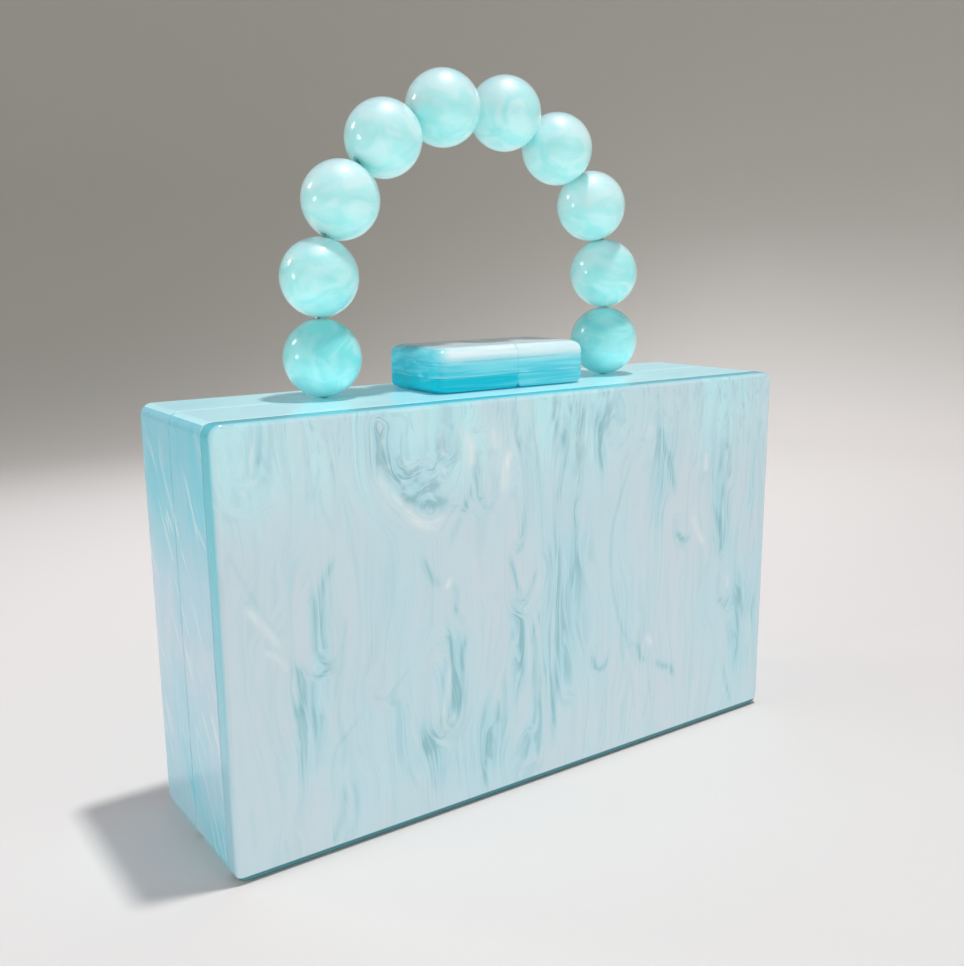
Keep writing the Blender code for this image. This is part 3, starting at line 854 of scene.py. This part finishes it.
def bead_mesh(name, centre, axis, bead):
    """A turned bead with a drilled hole and a broken edge round its mouths."""
    hole_angle = math.asin((bead.hole_radius + bead.lip) / bead.radius)
    profile = []
    for step in range(bead.rings + 1):
        angle = hole_angle + (math.pi - 2 * hole_angle) * step / bead.rings
        profile.append((bead.radius * math.sin(angle), bead.radius * math.cos(angle)))
    mouth = bead.radius * math.cos(hole_angle)
    edge, level = bead.hole_radius + LIP_OUT * bead.lip, mouth - LIP_DOWN * bead.lip
    profile.append((edge, -level))
    profile.append((bead.hole_radius, -mouth + bead.lip))
    profile.append((bead.hole_radius, mouth - bead.lip))
    profile.append((edge, level))
    turn = Matrix.Translation(centre) @ Vector((0, 0, 1)).rotation_difference(axis).to_matrix().to_4x4()
    rings = [[tuple(turn @ Vector((u, v, height))) for u, v in circle(radius, bead.sides)]
             for radius, height in profile]
    return loft(name, rings, closed=True)


def bead_places():
    """Centre and hole axis of each bead. The wire leaves the box straight up."""
    centres = [(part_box(name)[0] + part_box(name)[1]) / 2 for name in BEAD_NAMES]
    up = Vector((0, 0, (centres[1] - centres[0]).length))
    chain = [centres[0] - up, *centres, centres[-1] - up]
    return [(centre, (after - before).normalized())
            for before, centre, after in zip(chain, centres, chain[2:])]


def sized_noise(tree, place, lengths, detail, distortion=0.0):
    """Soft random pattern whose cells have these lengths in millimetres."""
    scaled = add_node(tree, "ShaderNodeVectorMath", {
        0: place, 1: [1 / (length * MM) for length in lengths]}, operation="MULTIPLY")
    return add_node(tree, "ShaderNodeTexNoise", {
        "Vector": scaled, "Scale": 1.0, "Detail": detail, "Distortion": distortion})


def add_marbling(tree, place, offset=(0, 0, 0)):
    """Folds of half-mixed dye in a sheet drawn out along one direction.

    place holds metres across the grain, along it and into the sheet.
    Returns the value of each layer of the pattern.
    """
    folded = add_node(tree, "ShaderNodeVectorMath", {0: place, 1: offset}, operation="ADD")
    for across, along, depth, push_across, push_along in MARBLE_FOLDS:
        field = sized_noise(tree, folded, (across, along, depth), FOLD_DETAIL)
        centred = add_node(tree, "ShaderNodeVectorMath", {
            0: field.outputs["Color"], 1: (0.5, 0.5, 0.5)}, operation="SUBTRACT")
        push = (2 * push_across * MM, 2 * push_along * MM, 0)
        folded = add_node(tree, "ShaderNodeVectorMath", {
            0: centred, 1: push, 2: folded}, operation="MULTIPLY_ADD")
    return {name: sized_noise(tree, folded, lengths, detail)
            for name, (*lengths, detail) in MARBLE_LAYERS.items()}


def add_ridge(tree, value, width):
    """Thin lines where a layer crosses its middle value."""
    centred = add_node(tree, "ShaderNodeMath", {0: value, 1: 0.5}, operation="SUBTRACT")
    away = add_node(tree, "ShaderNodeMath", {0: centred}, operation="ABSOLUTE")
    return add_node(tree, "ShaderNodeMapRange", {
        "Value": away, "From Min": width, "From Max": 0.0}, interpolation_type="SMOOTHSTEP")


def work_out(tree, values, masks=(), sums=()):
    """Add steps to the named values of a material. A word in a step stands for a value.

    A mask has a name, the value it reads, where it starts and ends, its least and most,
    and how it runs between them. A sum has a name, a part, its weight and a rest.
    """
    steps = [("ShaderNodeMapRange", mask[:-1], {"interpolation_type": mask[-1]}) for mask in masks]
    steps += [("ShaderNodeMath", row, {"operation": "MULTIPLY_ADD"}) for row in sums]
    for kind, (name, *terms), settings in steps:
        inputs = {socket: values.get(term, term) for socket, term in enumerate(terms)}
        values[name] = add_node(tree, kind, inputs, **settings)


def lay_over(tree, values, ground, layers):
    """Lay colours over a ground, each by the share that a named value gives it."""
    for share, colour in layers:
        ground = add_node(tree, "ShaderNodeMix", {
            "Factor": values[share], "A": ground, "B": colour}, data_type="RGBA")
    return ground


def finish_surface(material, **looks):
    """End a material in one principled shader. A name's underscores stand for spaces."""
    inputs = {name.replace("_", " "): value for name, value in looks.items()}
    shader = add_node(material.node_tree, "ShaderNodeBsdfPrincipled", inputs)
    add_node(material.node_tree, "ShaderNodeOutputMaterial", {"Surface": shader})
    return material


def panel_acrylic(finish):
    """Cast pearl acrylic sheet, half mixed and poured, then polished.

    The eye sees soft hanging flames of turquoise in pale pearl under a clear gloss, and
    deeper colour along the cut edges, where it looks through the sheet's whole length.
    """
    material, tree = start_material("cast_pearl_acrylic_panel")
    flow = add_node(tree, "ShaderNodeAttribute", attribute_name="flow").outputs["Vector"]
    values = add_marbling(tree, flow)
    for name in (*STROKES, "cut"):
        values[name] = add_node(tree, "ShaderNodeAttribute", attribute_name=name).outputs["Fac"]
    place = add_node(tree, "ShaderNodeTexCoord").outputs["Object"]
    values["height"] = add_node(tree, "ShaderNodeSeparateXYZ", {0: place}).outputs["Z"]
    values["ridge"] = add_ridge(tree, values["line"], RIDGE_WIDTH)

    # Painted dye is broken up by streaks, and a thin veil of dye lies all over. The dye is
    # turquoise in the broad bands and greyer in the fine streaks. Near the top the ground
    # is brighter, partly its own aqua tint and partly painted light, with drifts, dark specks and white
    # curls.
    # Along the lower edge a dark band is painted shade over the cut edge's deeper teal.
    work_out(tree, values, sums=(("threads", "strand", 1, "fibre"),))
    work_out(tree, values, masks=(
        ("mint", "cloud", 0.38, 0.62, 0, 1, "LINEAR"),
        ("streaks", "streak", 0.36, 0.66, 0, 1, "SMOOTHSTEP"),
        ("strands", "threads", 0.86, 1.16, 0, 1, "SMOOTHSTEP"),
        ("veiled", "veil", 0.46, 0.72, 0, 0.14, "LINEAR"),
        ("drifts", "veil", 0.36, 0.62, 0.3, 1, "SMOOTHSTEP"),
        ("specks", "mottle", 0.48, 0.30, 0, 0.24, "SMOOTHSTEP"),
        ("curls", "mottle", 0.50, 0.72, 0, 0.5, "SMOOTHSTEP"),
        ("crown", "height", 0.70 * BOX_TOP, 0.95 * BOX_TOP, 0, 1, "SMOOTHSTEP"),
        ("paler", "height", 0.75 * BOX_TOP, 0.10 * BOX_TOP, 0, 1, "LINEAR"),
        # Painted shade: a dark band along the lower edge, over the cut edge's deeper teal
        ("foot", "height", FOOT_SHADE_BAND, 0.85 * FOOT_SHADE_BAND, 0, 1, "LINEAR"),
    ), sums=(
        ("broad", "streaks", 0.62, 0.22),
        ("texture", "strands", 0.62, "broad"),
        ("painted", "dye", "texture", 0),
        ("woven", "streaks", "strands", 0),
        ("near_band", "bands", 1.3, 0.20),
        ("dyed", "woven", "near_band", "painted"),
        ("lined", "lines", 0.55, "dyed"),
        ("amount", "specks", "crown", "lined"),
        ("crown_tint_and_painted_light", "crown", "drifts", 0),
        ("body", "streaks", 1.1, 0.6),
        ("turquoise", "bands", "body", "veiled"),
        ("bright", "bands", 0.30, 0.04),
        ("patch", "bands", 1.2, 0.22),
        ("patchy", "crown", "patch", 0),
        ("crown_curls", "curls", "patchy", 0),
        ("folds", "ridge", "bright", "crown_curls"),
        ("white", "wisps", "texture", "folds"),
    ))
    work_out(tree, values, masks=(
        ("thin", "amount", 0, 0.5, 0, 1, "LINEAR"),
        ("dense", "amount", 0.35, 1, 0, 1, "LINEAR"),
    ))
    side_edge = lay_over(tree, values, finish.cut_edge, (("paler", finish.cut_edge_low),))
    colour = lay_over(tree, values, finish.pearl_ground, (
        ("mint", finish.pearl_mint), ("crown_tint_and_painted_light", finish.pearl_crown_and_painted_light),
        ("turquoise", finish.marble_veil), ("thin", finish.marble_thin),
        ("dense", finish.marble_deep), ("white", finish.wisp),
        ("cut", side_edge), ("foot", finish.cut_foot_and_painted_shade)))
    return finish_surface(material, Base_Color=colour, Roughness=0.16, IOR=1.49)


def wall_acrylic(finish):
    """Cast pearl acrylic strip, bonded at the corners and polished.

    The grain runs along each wall. Small slanting folds of pearl flash white. The top faces are painted
    lighter, with less dye, where the overhead light falls on them, and the sheet carries a faint painted
    glow, set as emission, stronger on the top.
    """
    material, tree = start_material("cast_pearl_acrylic_walls")
    coordinates = add_node(tree, "ShaderNodeTexCoord").outputs
    place = add_node(tree, "ShaderNodeSeparateXYZ", {0: coordinates["Object"]}).outputs
    facing = add_node(tree, "ShaderNodeVectorMath", {0: coordinates["Normal"]}, operation="ABSOLUTE")
    side = add_node(tree, "ShaderNodeSeparateXYZ", {0: facing}).outputs
    on_top, on_back = (add_node(tree, "ShaderNodeMath", {0: side[axis], 1: FACING}, operation="GREATER_THAN")
                       for axis in "ZY")
    # Across the grain, along it and into the sheet, on the side walls, the top and the back
    upright, lying, across_back = (
        add_node(tree, "ShaderNodeCombineXYZ", dict(enumerate(place[axis] for axis in axes)))
        for axes in ("YZX", "YXZ", "XZY"))
    grain = upright
    for share, other in ((on_top, lying), (on_back, across_back)):
        grain = add_node(tree, "ShaderNodeMix", {
            "Factor": share, "A": grain, "B": other}, data_type="VECTOR")
    values = add_marbling(tree, grain, WALL_OFFSET)
    slanted = add_node(tree, "ShaderNodeVectorRotate", {
        "Vector": grain, "Axis": (0, 0, 1), "Angle": FLECK_SLANT}, rotation_type="AXIS_ANGLE")
    values.update(height=place["Z"], on_top=on_top,
                  shreds=sized_noise(tree, slanted, FLECK_SIZE, 4.0, 0.8))
    work_out(tree, values, masks=(
        ("above", "height", 0.60 * BOX_TOP, 0.92 * BOX_TOP, 0, 1, "SMOOTHSTEP"),
        ("below", "height", 0.45 * BOX_TOP, 0.05 * BOX_TOP, 0, 0.4, "SMOOTHSTEP"),
        ("streaks", "streak", 0.34, 0.68, 0, 1, "SMOOTHSTEP"),
        ("pools", "cloud", 0.44, 0.60, 0, 1, "SMOOTHSTEP"),
        ("shown", "cloud", 0.40, 0.58, 0.25, 0.75, "LINEAR"),
        ("flecks", "shreds", 0.53, 0.76, 0, "shown", "SMOOTHSTEP"),
        # Painted glow: emission, faint on the sides and stronger on the top faces
        ("glow", "on_top", 0, 1, SIDE_PAINTED_GLOW, TOP_PAINTED_GLOW, "LINEAR"),
    ), sums=(
        ("upright_share", "on_top", -1, 1),
        ("near_top", "above", "upright_share", 0),
        ("settled", "pools", 0.30, "below"),
        ("dye", "near_top", 0.75, "settled"),
        ("whole", "streaks", 0.25, "dye"),
        # Painted light: the top faces get less dye, so they read lighter where the light falls
        ("held", "on_top", -0.55, 1),
        ("amount", "whole", "held", 0),
    ))
    colour = lay_over(tree, values, finish.wall_ground, (
        ("on_top", finish.top_ground_painted_light), ("amount", finish.wall_deep), ("flecks", finish.wall_fleck)))
    return finish_surface(material, Base_Color=colour, Roughness=0.22, IOR=1.49, Specular_IOR_Level=0.3,
                          Emission_Color=finish.clasp_deep, Emission_Strength=values["glow"])


def clasp_acrylic(finish):
    """Bonded layers of turquoise acrylic, milled round and polished.

    Long streaks run through the layers, and the top one is white: partly its pearl and partly painted glare,
    which fades towards the left end. The left end carries a painted glow.
    """
    material, tree = start_material("layered_turquoise_acrylic")
    coordinates = add_node(tree, "ShaderNodeTexCoord").outputs
    place = add_node(tree, "ShaderNodeSeparateXYZ", {0: coordinates["Object"]}).outputs
    facing = add_node(tree, "ShaderNodeSeparateXYZ", {0: coordinates["Normal"]}).outputs
    grain = add_node(tree, "ShaderNodeCombineXYZ", {0: place["Z"], 1: place["X"], 2: place["Y"]})
    # The lowest layer is deeper on the left block alone, and ends in a pale line of bond
    low = add_node(tree, "ShaderNodeMath", {0: place["Z"], 1: LOWEST_LAYER_TOP}, operation="LESS_THAN")
    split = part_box("clasp_left")[1].x
    left = add_node(tree, "ShaderNodeMath", {0: place["X"], 1: split}, operation="LESS_THAN")
    from_bond = add_node(tree, "ShaderNodeMath", {0: place["Z"], 1: BOND_HEIGHT}, operation="SUBTRACT")
    bond_gap = add_node(tree, "ShaderNodeMath", {0: from_bond}, operation="ABSOLUTE")
    values = {"height": place["Z"], "across": place["X"], "facing": facing["X"], "low": low,
              "left": left, "bond_gap": bond_gap, "grain": sized_noise(tree, grain, CLASP_STREAK, 4.0, 0.6)}
    work_out(tree, values, masks=(
        ("streaks", "grain", 0.36, 0.66, 0, 1, "SMOOTHSTEP"),
        ("rise", "height", BOX_TOP + 3 * MM, BOX_TOP + 10 * MM, 0, 0.35, "LINEAR"),
        ("right", "across", -26 * MM, 8 * MM, 0, 0.3, "LINEAR"),
        # Partly the top layer's pearl and partly painted glare: white near the top, fading towards the left
        # end
        ("top", "height", BOX_TOP + 7.5 * MM, BOX_TOP + 11.5 * MM, 0, 0.9, "SMOOTHSTEP"),
        ("inward", "across", -26 * MM, -20 * MM, 0.1, 1, "SMOOTHSTEP"),
        ("bond", "bond_gap", 0.4 * MM, 0.1 * MM, 0, 0.4, "LINEAR"),
        # Painted glow: emission on the left end, where the surface faces -X
        ("painted_end_glow", "facing", -0.5, -0.95, 0, CLASP_END_PAINTED_GLOW, "LINEAR"),
    ), sums=(
        ("base", "rise", 1, "right"),
        ("low_left", "low", "left", 0),
        ("held", "low_left", -0.34, "base"),
        ("light", "streaks", 0.5, "held"),
        ("patchy", "streaks", 0.25, 0.8),
        ("pearly", "top", "inward", 0),
        ("pearl", "pearly", "patchy", 0),
        ("white", "bond", "streaks", "pearl"),
    ))
    colour = lay_over(tree, values, finish.clasp_deep, (
        ("light", finish.clasp_light), ("white", finish.clasp_pearl)))
    return finish_surface(material, Base_Color=colour, Roughness=0.18, IOR=1.49, Specular_IOR_Level=0.25,
                          Emission_Color=finish.clasp_deep, Emission_Strength=values["painted_end_glow"])


def bead_acrylic(finish):
    """Turned and tumbled beads of translucent pearl acrylic.

    Light goes a few millimetres in, so the beads glow, and a painted glow, set as emission, adds to it.
    Slow pearly clouds lie inside, and each bead is painted paler in its upper half and the higher beads
    paler, where more light falls.
    """
    material, tree = start_material("tumbled_pearl_acrylic_beads")
    coordinates = add_node(tree, "ShaderNodeTexCoord").outputs
    values = {"clouds": sized_noise(tree, coordinates["Object"], BEAD_CLOUD, 3.0, 1.4)}
    for name, source in (("level", "Generated"), ("height", "Object")):
        values[name] = add_node(tree, "ShaderNodeSeparateXYZ", {0: coordinates[source]}).outputs["Z"]
    # Painted light: the higher a bead hangs, the paler it is painted, and each is painted paler in its upper
    # half, where the light from above falls on it
    work_out(tree, values, masks=(
        ("cloud", "clouds", 0.34, 0.66, 0, 1, "SMOOTHSTEP"),
        ("higher_painted_paler", "height", BOX_TOP + 10 * MM, BOX_TOP + 55 * MM, 0, 0.4, "SMOOTHSTEP"),
    ), sums=(("lowest", "higher_painted_paler", -0.8, 0.34),))
    work_out(tree, values, masks=(
        ("upper_half_painted_paler", "level", 0.15, 0.85, "lowest", "higher_painted_paler", "SMOOTHSTEP"),
    ), sums=(
        ("both", "upper_half_painted_paler", 1, "higher_painted_paler"),
        ("pearl", "cloud", 0.38, "both"),
    ))
    colour = lay_over(tree, values, finish.bead_deep, (("pearl", finish.bead_pearl),))
    return finish_surface(
        material, Base_Color=colour, Roughness=0.4, IOR=1.49, Specular_IOR_Level=0.8,
        Subsurface_Weight=0.9, Subsurface_Radius=(0.5, 1.0, 0.95), Subsurface_Scale=8 * MM,
        Coat_Weight=1.0, Coat_Roughness=0.08,
        Emission_Color=finish.bead_deep, Emission_Strength=BEAD_PAINTED_GLOW)


def brushed_metal(name, colour, across_mm, along_mm, roughness):
    """Rolled or drawn metal, brushed along X: long fine scratches break the highlight."""
    material, tree = start_material(name)
    place = add_node(tree, "ShaderNodeTexCoord").outputs["Object"]
    values = {"scratches": sized_noise(tree, place, (along_mm, across_mm, across_mm), 3.0)}
    work_out(tree, values, masks=(
        ("shade", "scratches", 0.3, 0.7, 0.8, 1.1, "LINEAR"),
        ("gloss", "scratches", 0.3, 0.7, roughness - 0.06, roughness + 0.08, "LINEAR"),
    ))
    tint = add_node(tree, "ShaderNodeVectorMath", {
        0: colour[:3], "Scale": values["shade"]}, operation="SCALE")
    bump = add_node(tree, "ShaderNodeBump", {
        "Height": values["scratches"], "Strength": 0.2, "Distance": 0.05 * MM})
    return finish_surface(material, Base_Color=tint, Roughness=values["gloss"], Metallic=1.0, Normal=bump)


def sweep_paper(finish):
    """Matt backdrop paper, white under the bag, with painted shade: grey painted behind and above it, where
    less light reaches it.
    """
    material, tree = start_material("matt_sweep_paper")
    place = add_node(tree, "ShaderNodeTexCoord").outputs["Object"]
    height = add_node(tree, "ShaderNodeSeparateXYZ", {0: place}).outputs["Z"]
    behind = add_node(tree, "ShaderNodeVectorMath", {0: place, 1: BACKDROP_WAY}, operation="DOT_PRODUCT")
    halvings = add_node(tree, "ShaderNodeMath", {0: height, 1: PAPER_FADE}, operation="DIVIDE")
    low = add_node(tree, "ShaderNodeMath", {0: 0.5, 1: halvings}, operation="POWER")
    values = {"behind": behind, "low": low}
    work_out(tree, values, masks=(("near", "behind", 0.90, 0.44, 0, 1, "SMOOTHSTEP"),),
             sums=(("white", "near", "low", 0),))
    colour = lay_over(tree, values, finish.backdrop_painted_shade, (("white", finish.paper),))
    return finish_surface(material, Base_Color=colour, Roughness=0.9, Specular_IOR_Level=0.2)


def add_light(name, target, direction, distance, size, power, mirrored):
    """A soft light that looks at the target from a direction, round where its sides are equal."""
    data = bpy.data.lights.new(name, "AREA")
    data.shape = "DISK" if size[0] == size[1] else "RECTANGLE"
    data.size, data.size_y = size
    data.energy = power
    light = bpy.data.objects.new(name, data)
    aim = Vector(direction).normalized()
    light.location = Vector(target) + aim * distance
    light.rotation_euler = aim.to_track_quat("Z", "Y").to_euler()
    light.visible_camera = False
    light.visible_glossy = mirrored
    bpy.context.scene.collection.objects.link(light)


def cove_mesh(stage):
    """A round floor that sweeps up into a wall."""
    radius, curve, height = stage.cove_radius, stage.cove_curve, stage.cove_height
    profile = [(radius * share, 0) for share in COVE_RINGS]
    for step in range(COVE_STEPS + 1):
        turn = math.pi / 2 * step / COVE_STEPS
        profile.append((radius - curve + curve * math.sin(turn), curve * (1 - math.cos(turn))))
    profile.append((radius, height))
    points, faces = [], []
    loops = [add_ring(points, [(x, y, up - FLOOR_DROP) for x, y in circle(across, COVE_SIDES)])
             for across, up in profile]
    faces.append(tuple(loops[0]))
    for first, second in zip(loops, loops[1:]):
        bridge(faces, second, first)
    mesh = bpy.data.meshes.new("cove")
    mesh.from_pydata(points, [], faces)
    mesh.shade_smooth()
    return mesh


class CLUTCH_OT_stage(Operator):
    """Build the pale cove, the lights and the camera"""

    bl_idname = "clutch.stage"
    bl_label = "Stage"

    def execute(self, context):
        scene = context.scene
        stage = scene.clutch_stage
        floor = bpy.data.objects.new("cove", cove_mesh(stage))
        floor.data.materials.append(sweep_paper(scene.clutch_finish))
        scene.collection.objects.link(floor)

        world = bpy.data.worlds.new("soft_sky")
        world.use_nodes = True
        background = world.node_tree.nodes["Background"]
        background.inputs["Color"].default_value = linear(SKY_COLOUR)
        background.inputs["Strength"].default_value = stage.sky
        scene.world = world

        for name, (*place, power, mirrored) in LIGHTS.items():
            add_light(name, *place, getattr(stage, power), mirrored)

        turn, rise = stage.camera_azimuth, stage.camera_elevation
        back = Vector((math.sin(turn) * math.cos(rise), -math.cos(turn) * math.cos(rise), math.sin(rise)))
        right = Vector((math.cos(turn), math.sin(turn), 0))
        up = back.cross(right)
        roll = stage.camera_roll
        side = math.cos(roll) * right + math.sin(roll) * up
        top = -math.sin(roll) * right + math.cos(roll) * up
        lens = bpy.data.cameras.new("camera")
        lens.lens = stage.focal_length
        lens.clip_start = 0.01
        camera = bpy.data.objects.new("camera", lens)
        place = Matrix((side, top, back)).transposed().to_4x4()
        place.translation = Vector(stage.camera_target) + back * stage.camera_distance
        camera.matrix_world = place
        scene.collection.objects.link(camera)
        scene.camera = camera
        scene.view_settings.view_transform = "Standard"
        return {"FINISHED"}


class CLUTCH_OT_front_panel(Operator):
    """Build the marbled front panel"""

    bl_idname = "clutch.front_panel"
    bl_label = "Front panel"

    def execute(self, context):
        box = context.scene.clutch_box
        mesh = panel_mesh(box)
        paint_panel(mesh, box)
        piece = place_piece("front_panel_sheet", mesh, panel_acrylic(context.scene.clutch_finish),
                            "front_panel", "front_half")
        even_normals(piece)
        return {"FINISHED"}


class CLUTCH_OT_walls(Operator):
    """Build the front frame and the back shell"""

    bl_idname = "clutch.walls"
    bl_label = "Walls"

    def execute(self, context):
        box = context.scene.clutch_box
        acrylic = wall_acrylic(context.scene.clutch_finish)
        rings = wall_rings(box, FRAME_LOW.y, FRAME_HIGH.y, box.rim_edge_radius)
        rings += hollow_rings(box, FRAME_HIGH.y, FRAME_LOW.y)
        front = place_piece("front_frame_walls", loft("front_frame_walls", rings, closed=True),
                            acrylic, "front_frame", "front_half")
        rings = hollow_rings(box, SHELL_HIGH.y - box.back_wall, SHELL_LOW.y)
        rings += wall_rings(box, SHELL_LOW.y, SHELL_HIGH.y, box.back_edge_radius)
        back = place_piece("back_shell_tray", loft("back_shell_tray", rings),
                           acrylic, "back_shell", "back_half")
        cut_away(front, hinge_cutters())
        cut_away(back, hinge_cutters() + hole_cutters())
        even_normals(front)
        even_normals(back)
        return {"FINISHED"}


class CLUTCH_OT_clasp(Operator):
    """Build the two layered blocks of the clasp"""

    bl_idname = "clutch.clasp"
    bl_label = "Clasp"

    def execute(self, context):
        clasp = context.scene.clutch_clasp
        acrylic = clasp_acrylic(context.scene.clutch_finish)
        for node, body, is_left in (("clasp_left", "front_half", True), ("clasp_right", "back_half", False)):
            piece = place_piece(node + "_block", clasp_mesh(node, clasp, is_left),
                                acrylic, node, body)
            even_normals(piece)
        return {"FINISHED"}


class CLUTCH_OT_beads(Operator):
    """Build the ten drilled beads of the handle"""

    bl_idname = "clutch.beads"
    bl_label = "Beads"

    def execute(self, context):
        bead = context.scene.clutch_bead
        acrylic = bead_acrylic(context.scene.clutch_finish)
        for node, (centre, axis) in zip(BEAD_NAMES, bead_places()):
            name = node.replace("bead", "pearl_bead")
            place_piece(name, bead_mesh(name, centre, axis, bead), acrylic, node, "back_half")
        return {"FINISHED"}


class CLUTCH_OT_hardware(Operator):
    """Finish the hinge, the handle's wire and its sleeves"""

    bl_idname = "clutch.hardware"
    bl_label = "Hardware"

    def execute(self, context):
        finish = context.scene.clutch_finish
        rolled = brushed_metal("rolled_brushed_stainless_steel", finish.steel,
                               across_mm=0.25, along_mm=8, roughness=0.32)
        turned = brushed_metal("turned_satin_brass", finish.brass,
                               across_mm=0.2, along_mm=3, roughness=0.36)
        finishes = {"hinge_leaf_back": rolled, "hinge_leaf_front": rolled, "hinge_pin": rolled,
                    "handle_wire": rolled, "wire_crimp_left": turned, "wire_crimp_right": turned}
        for node, material in finishes.items():
            for slot in frame["nodes"][node].material_slots:
                slot.material = material
        return {"FINISHED"}


class CLUTCH_PT_sidebar(Panel):
    """Lists the steps and the sizes that can be changed"""

    bl_idname = "CLUTCH_PT_sidebar"
    bl_label = "Marbled Box Clutch"
    bl_space_type = "VIEW_3D"
    bl_region_type = "UI"
    bl_category = "Clutch"

    def draw(self, context):
        for operator in OPERATORS:
            self.layout.operator(operator.bl_idname)
        for name in SETTINGS:
            group = getattr(context.scene, name)
            column = self.layout.box().column(heading=group.bl_rna.description)
            for key in group.bl_rna.properties.keys():
                if key not in ("name", "rna_type"):
                    column.prop(group, key)


SETTINGS = {
    "clutch_box": BoxSettings,
    "clutch_clasp": ClaspSettings,
    "clutch_bead": BeadSettings,
    "clutch_finish": FinishSettings,
    "clutch_stage": StageSettings,
}
OPERATORS = (
    CLUTCH_OT_stage,
    CLUTCH_OT_front_panel,
    CLUTCH_OT_walls,
    CLUTCH_OT_clasp,
    CLUTCH_OT_beads,
    CLUTCH_OT_hardware,
)


def register():
    """Register the classes and hang the settings on the scene."""
    for cls in (*SETTINGS.values(), *OPERATORS, CLUTCH_PT_sidebar):
        bpy.utils.register_class(cls)
    for name, cls in SETTINGS.items():
        setattr(bpy.types.Scene, name, PointerProperty(type=cls))


def unregister():
    """Take the settings and the classes away again."""
    for name in SETTINGS:
        delattr(bpy.types.Scene, name)
    for cls in reversed((*SETTINGS.values(), *OPERATORS, CLUTCH_PT_sidebar)):
        bpy.utils.unregister_class(cls)


def main():
    register()
    bpy.ops.clutch.stage()
    bpy.ops.clutch.front_panel()
    bpy.ops.clutch.walls()
    bpy.ops.clutch.clasp()
    bpy.ops.clutch.beads()
    bpy.ops.clutch.hardware()


if __name__ == "__main__":
    main()
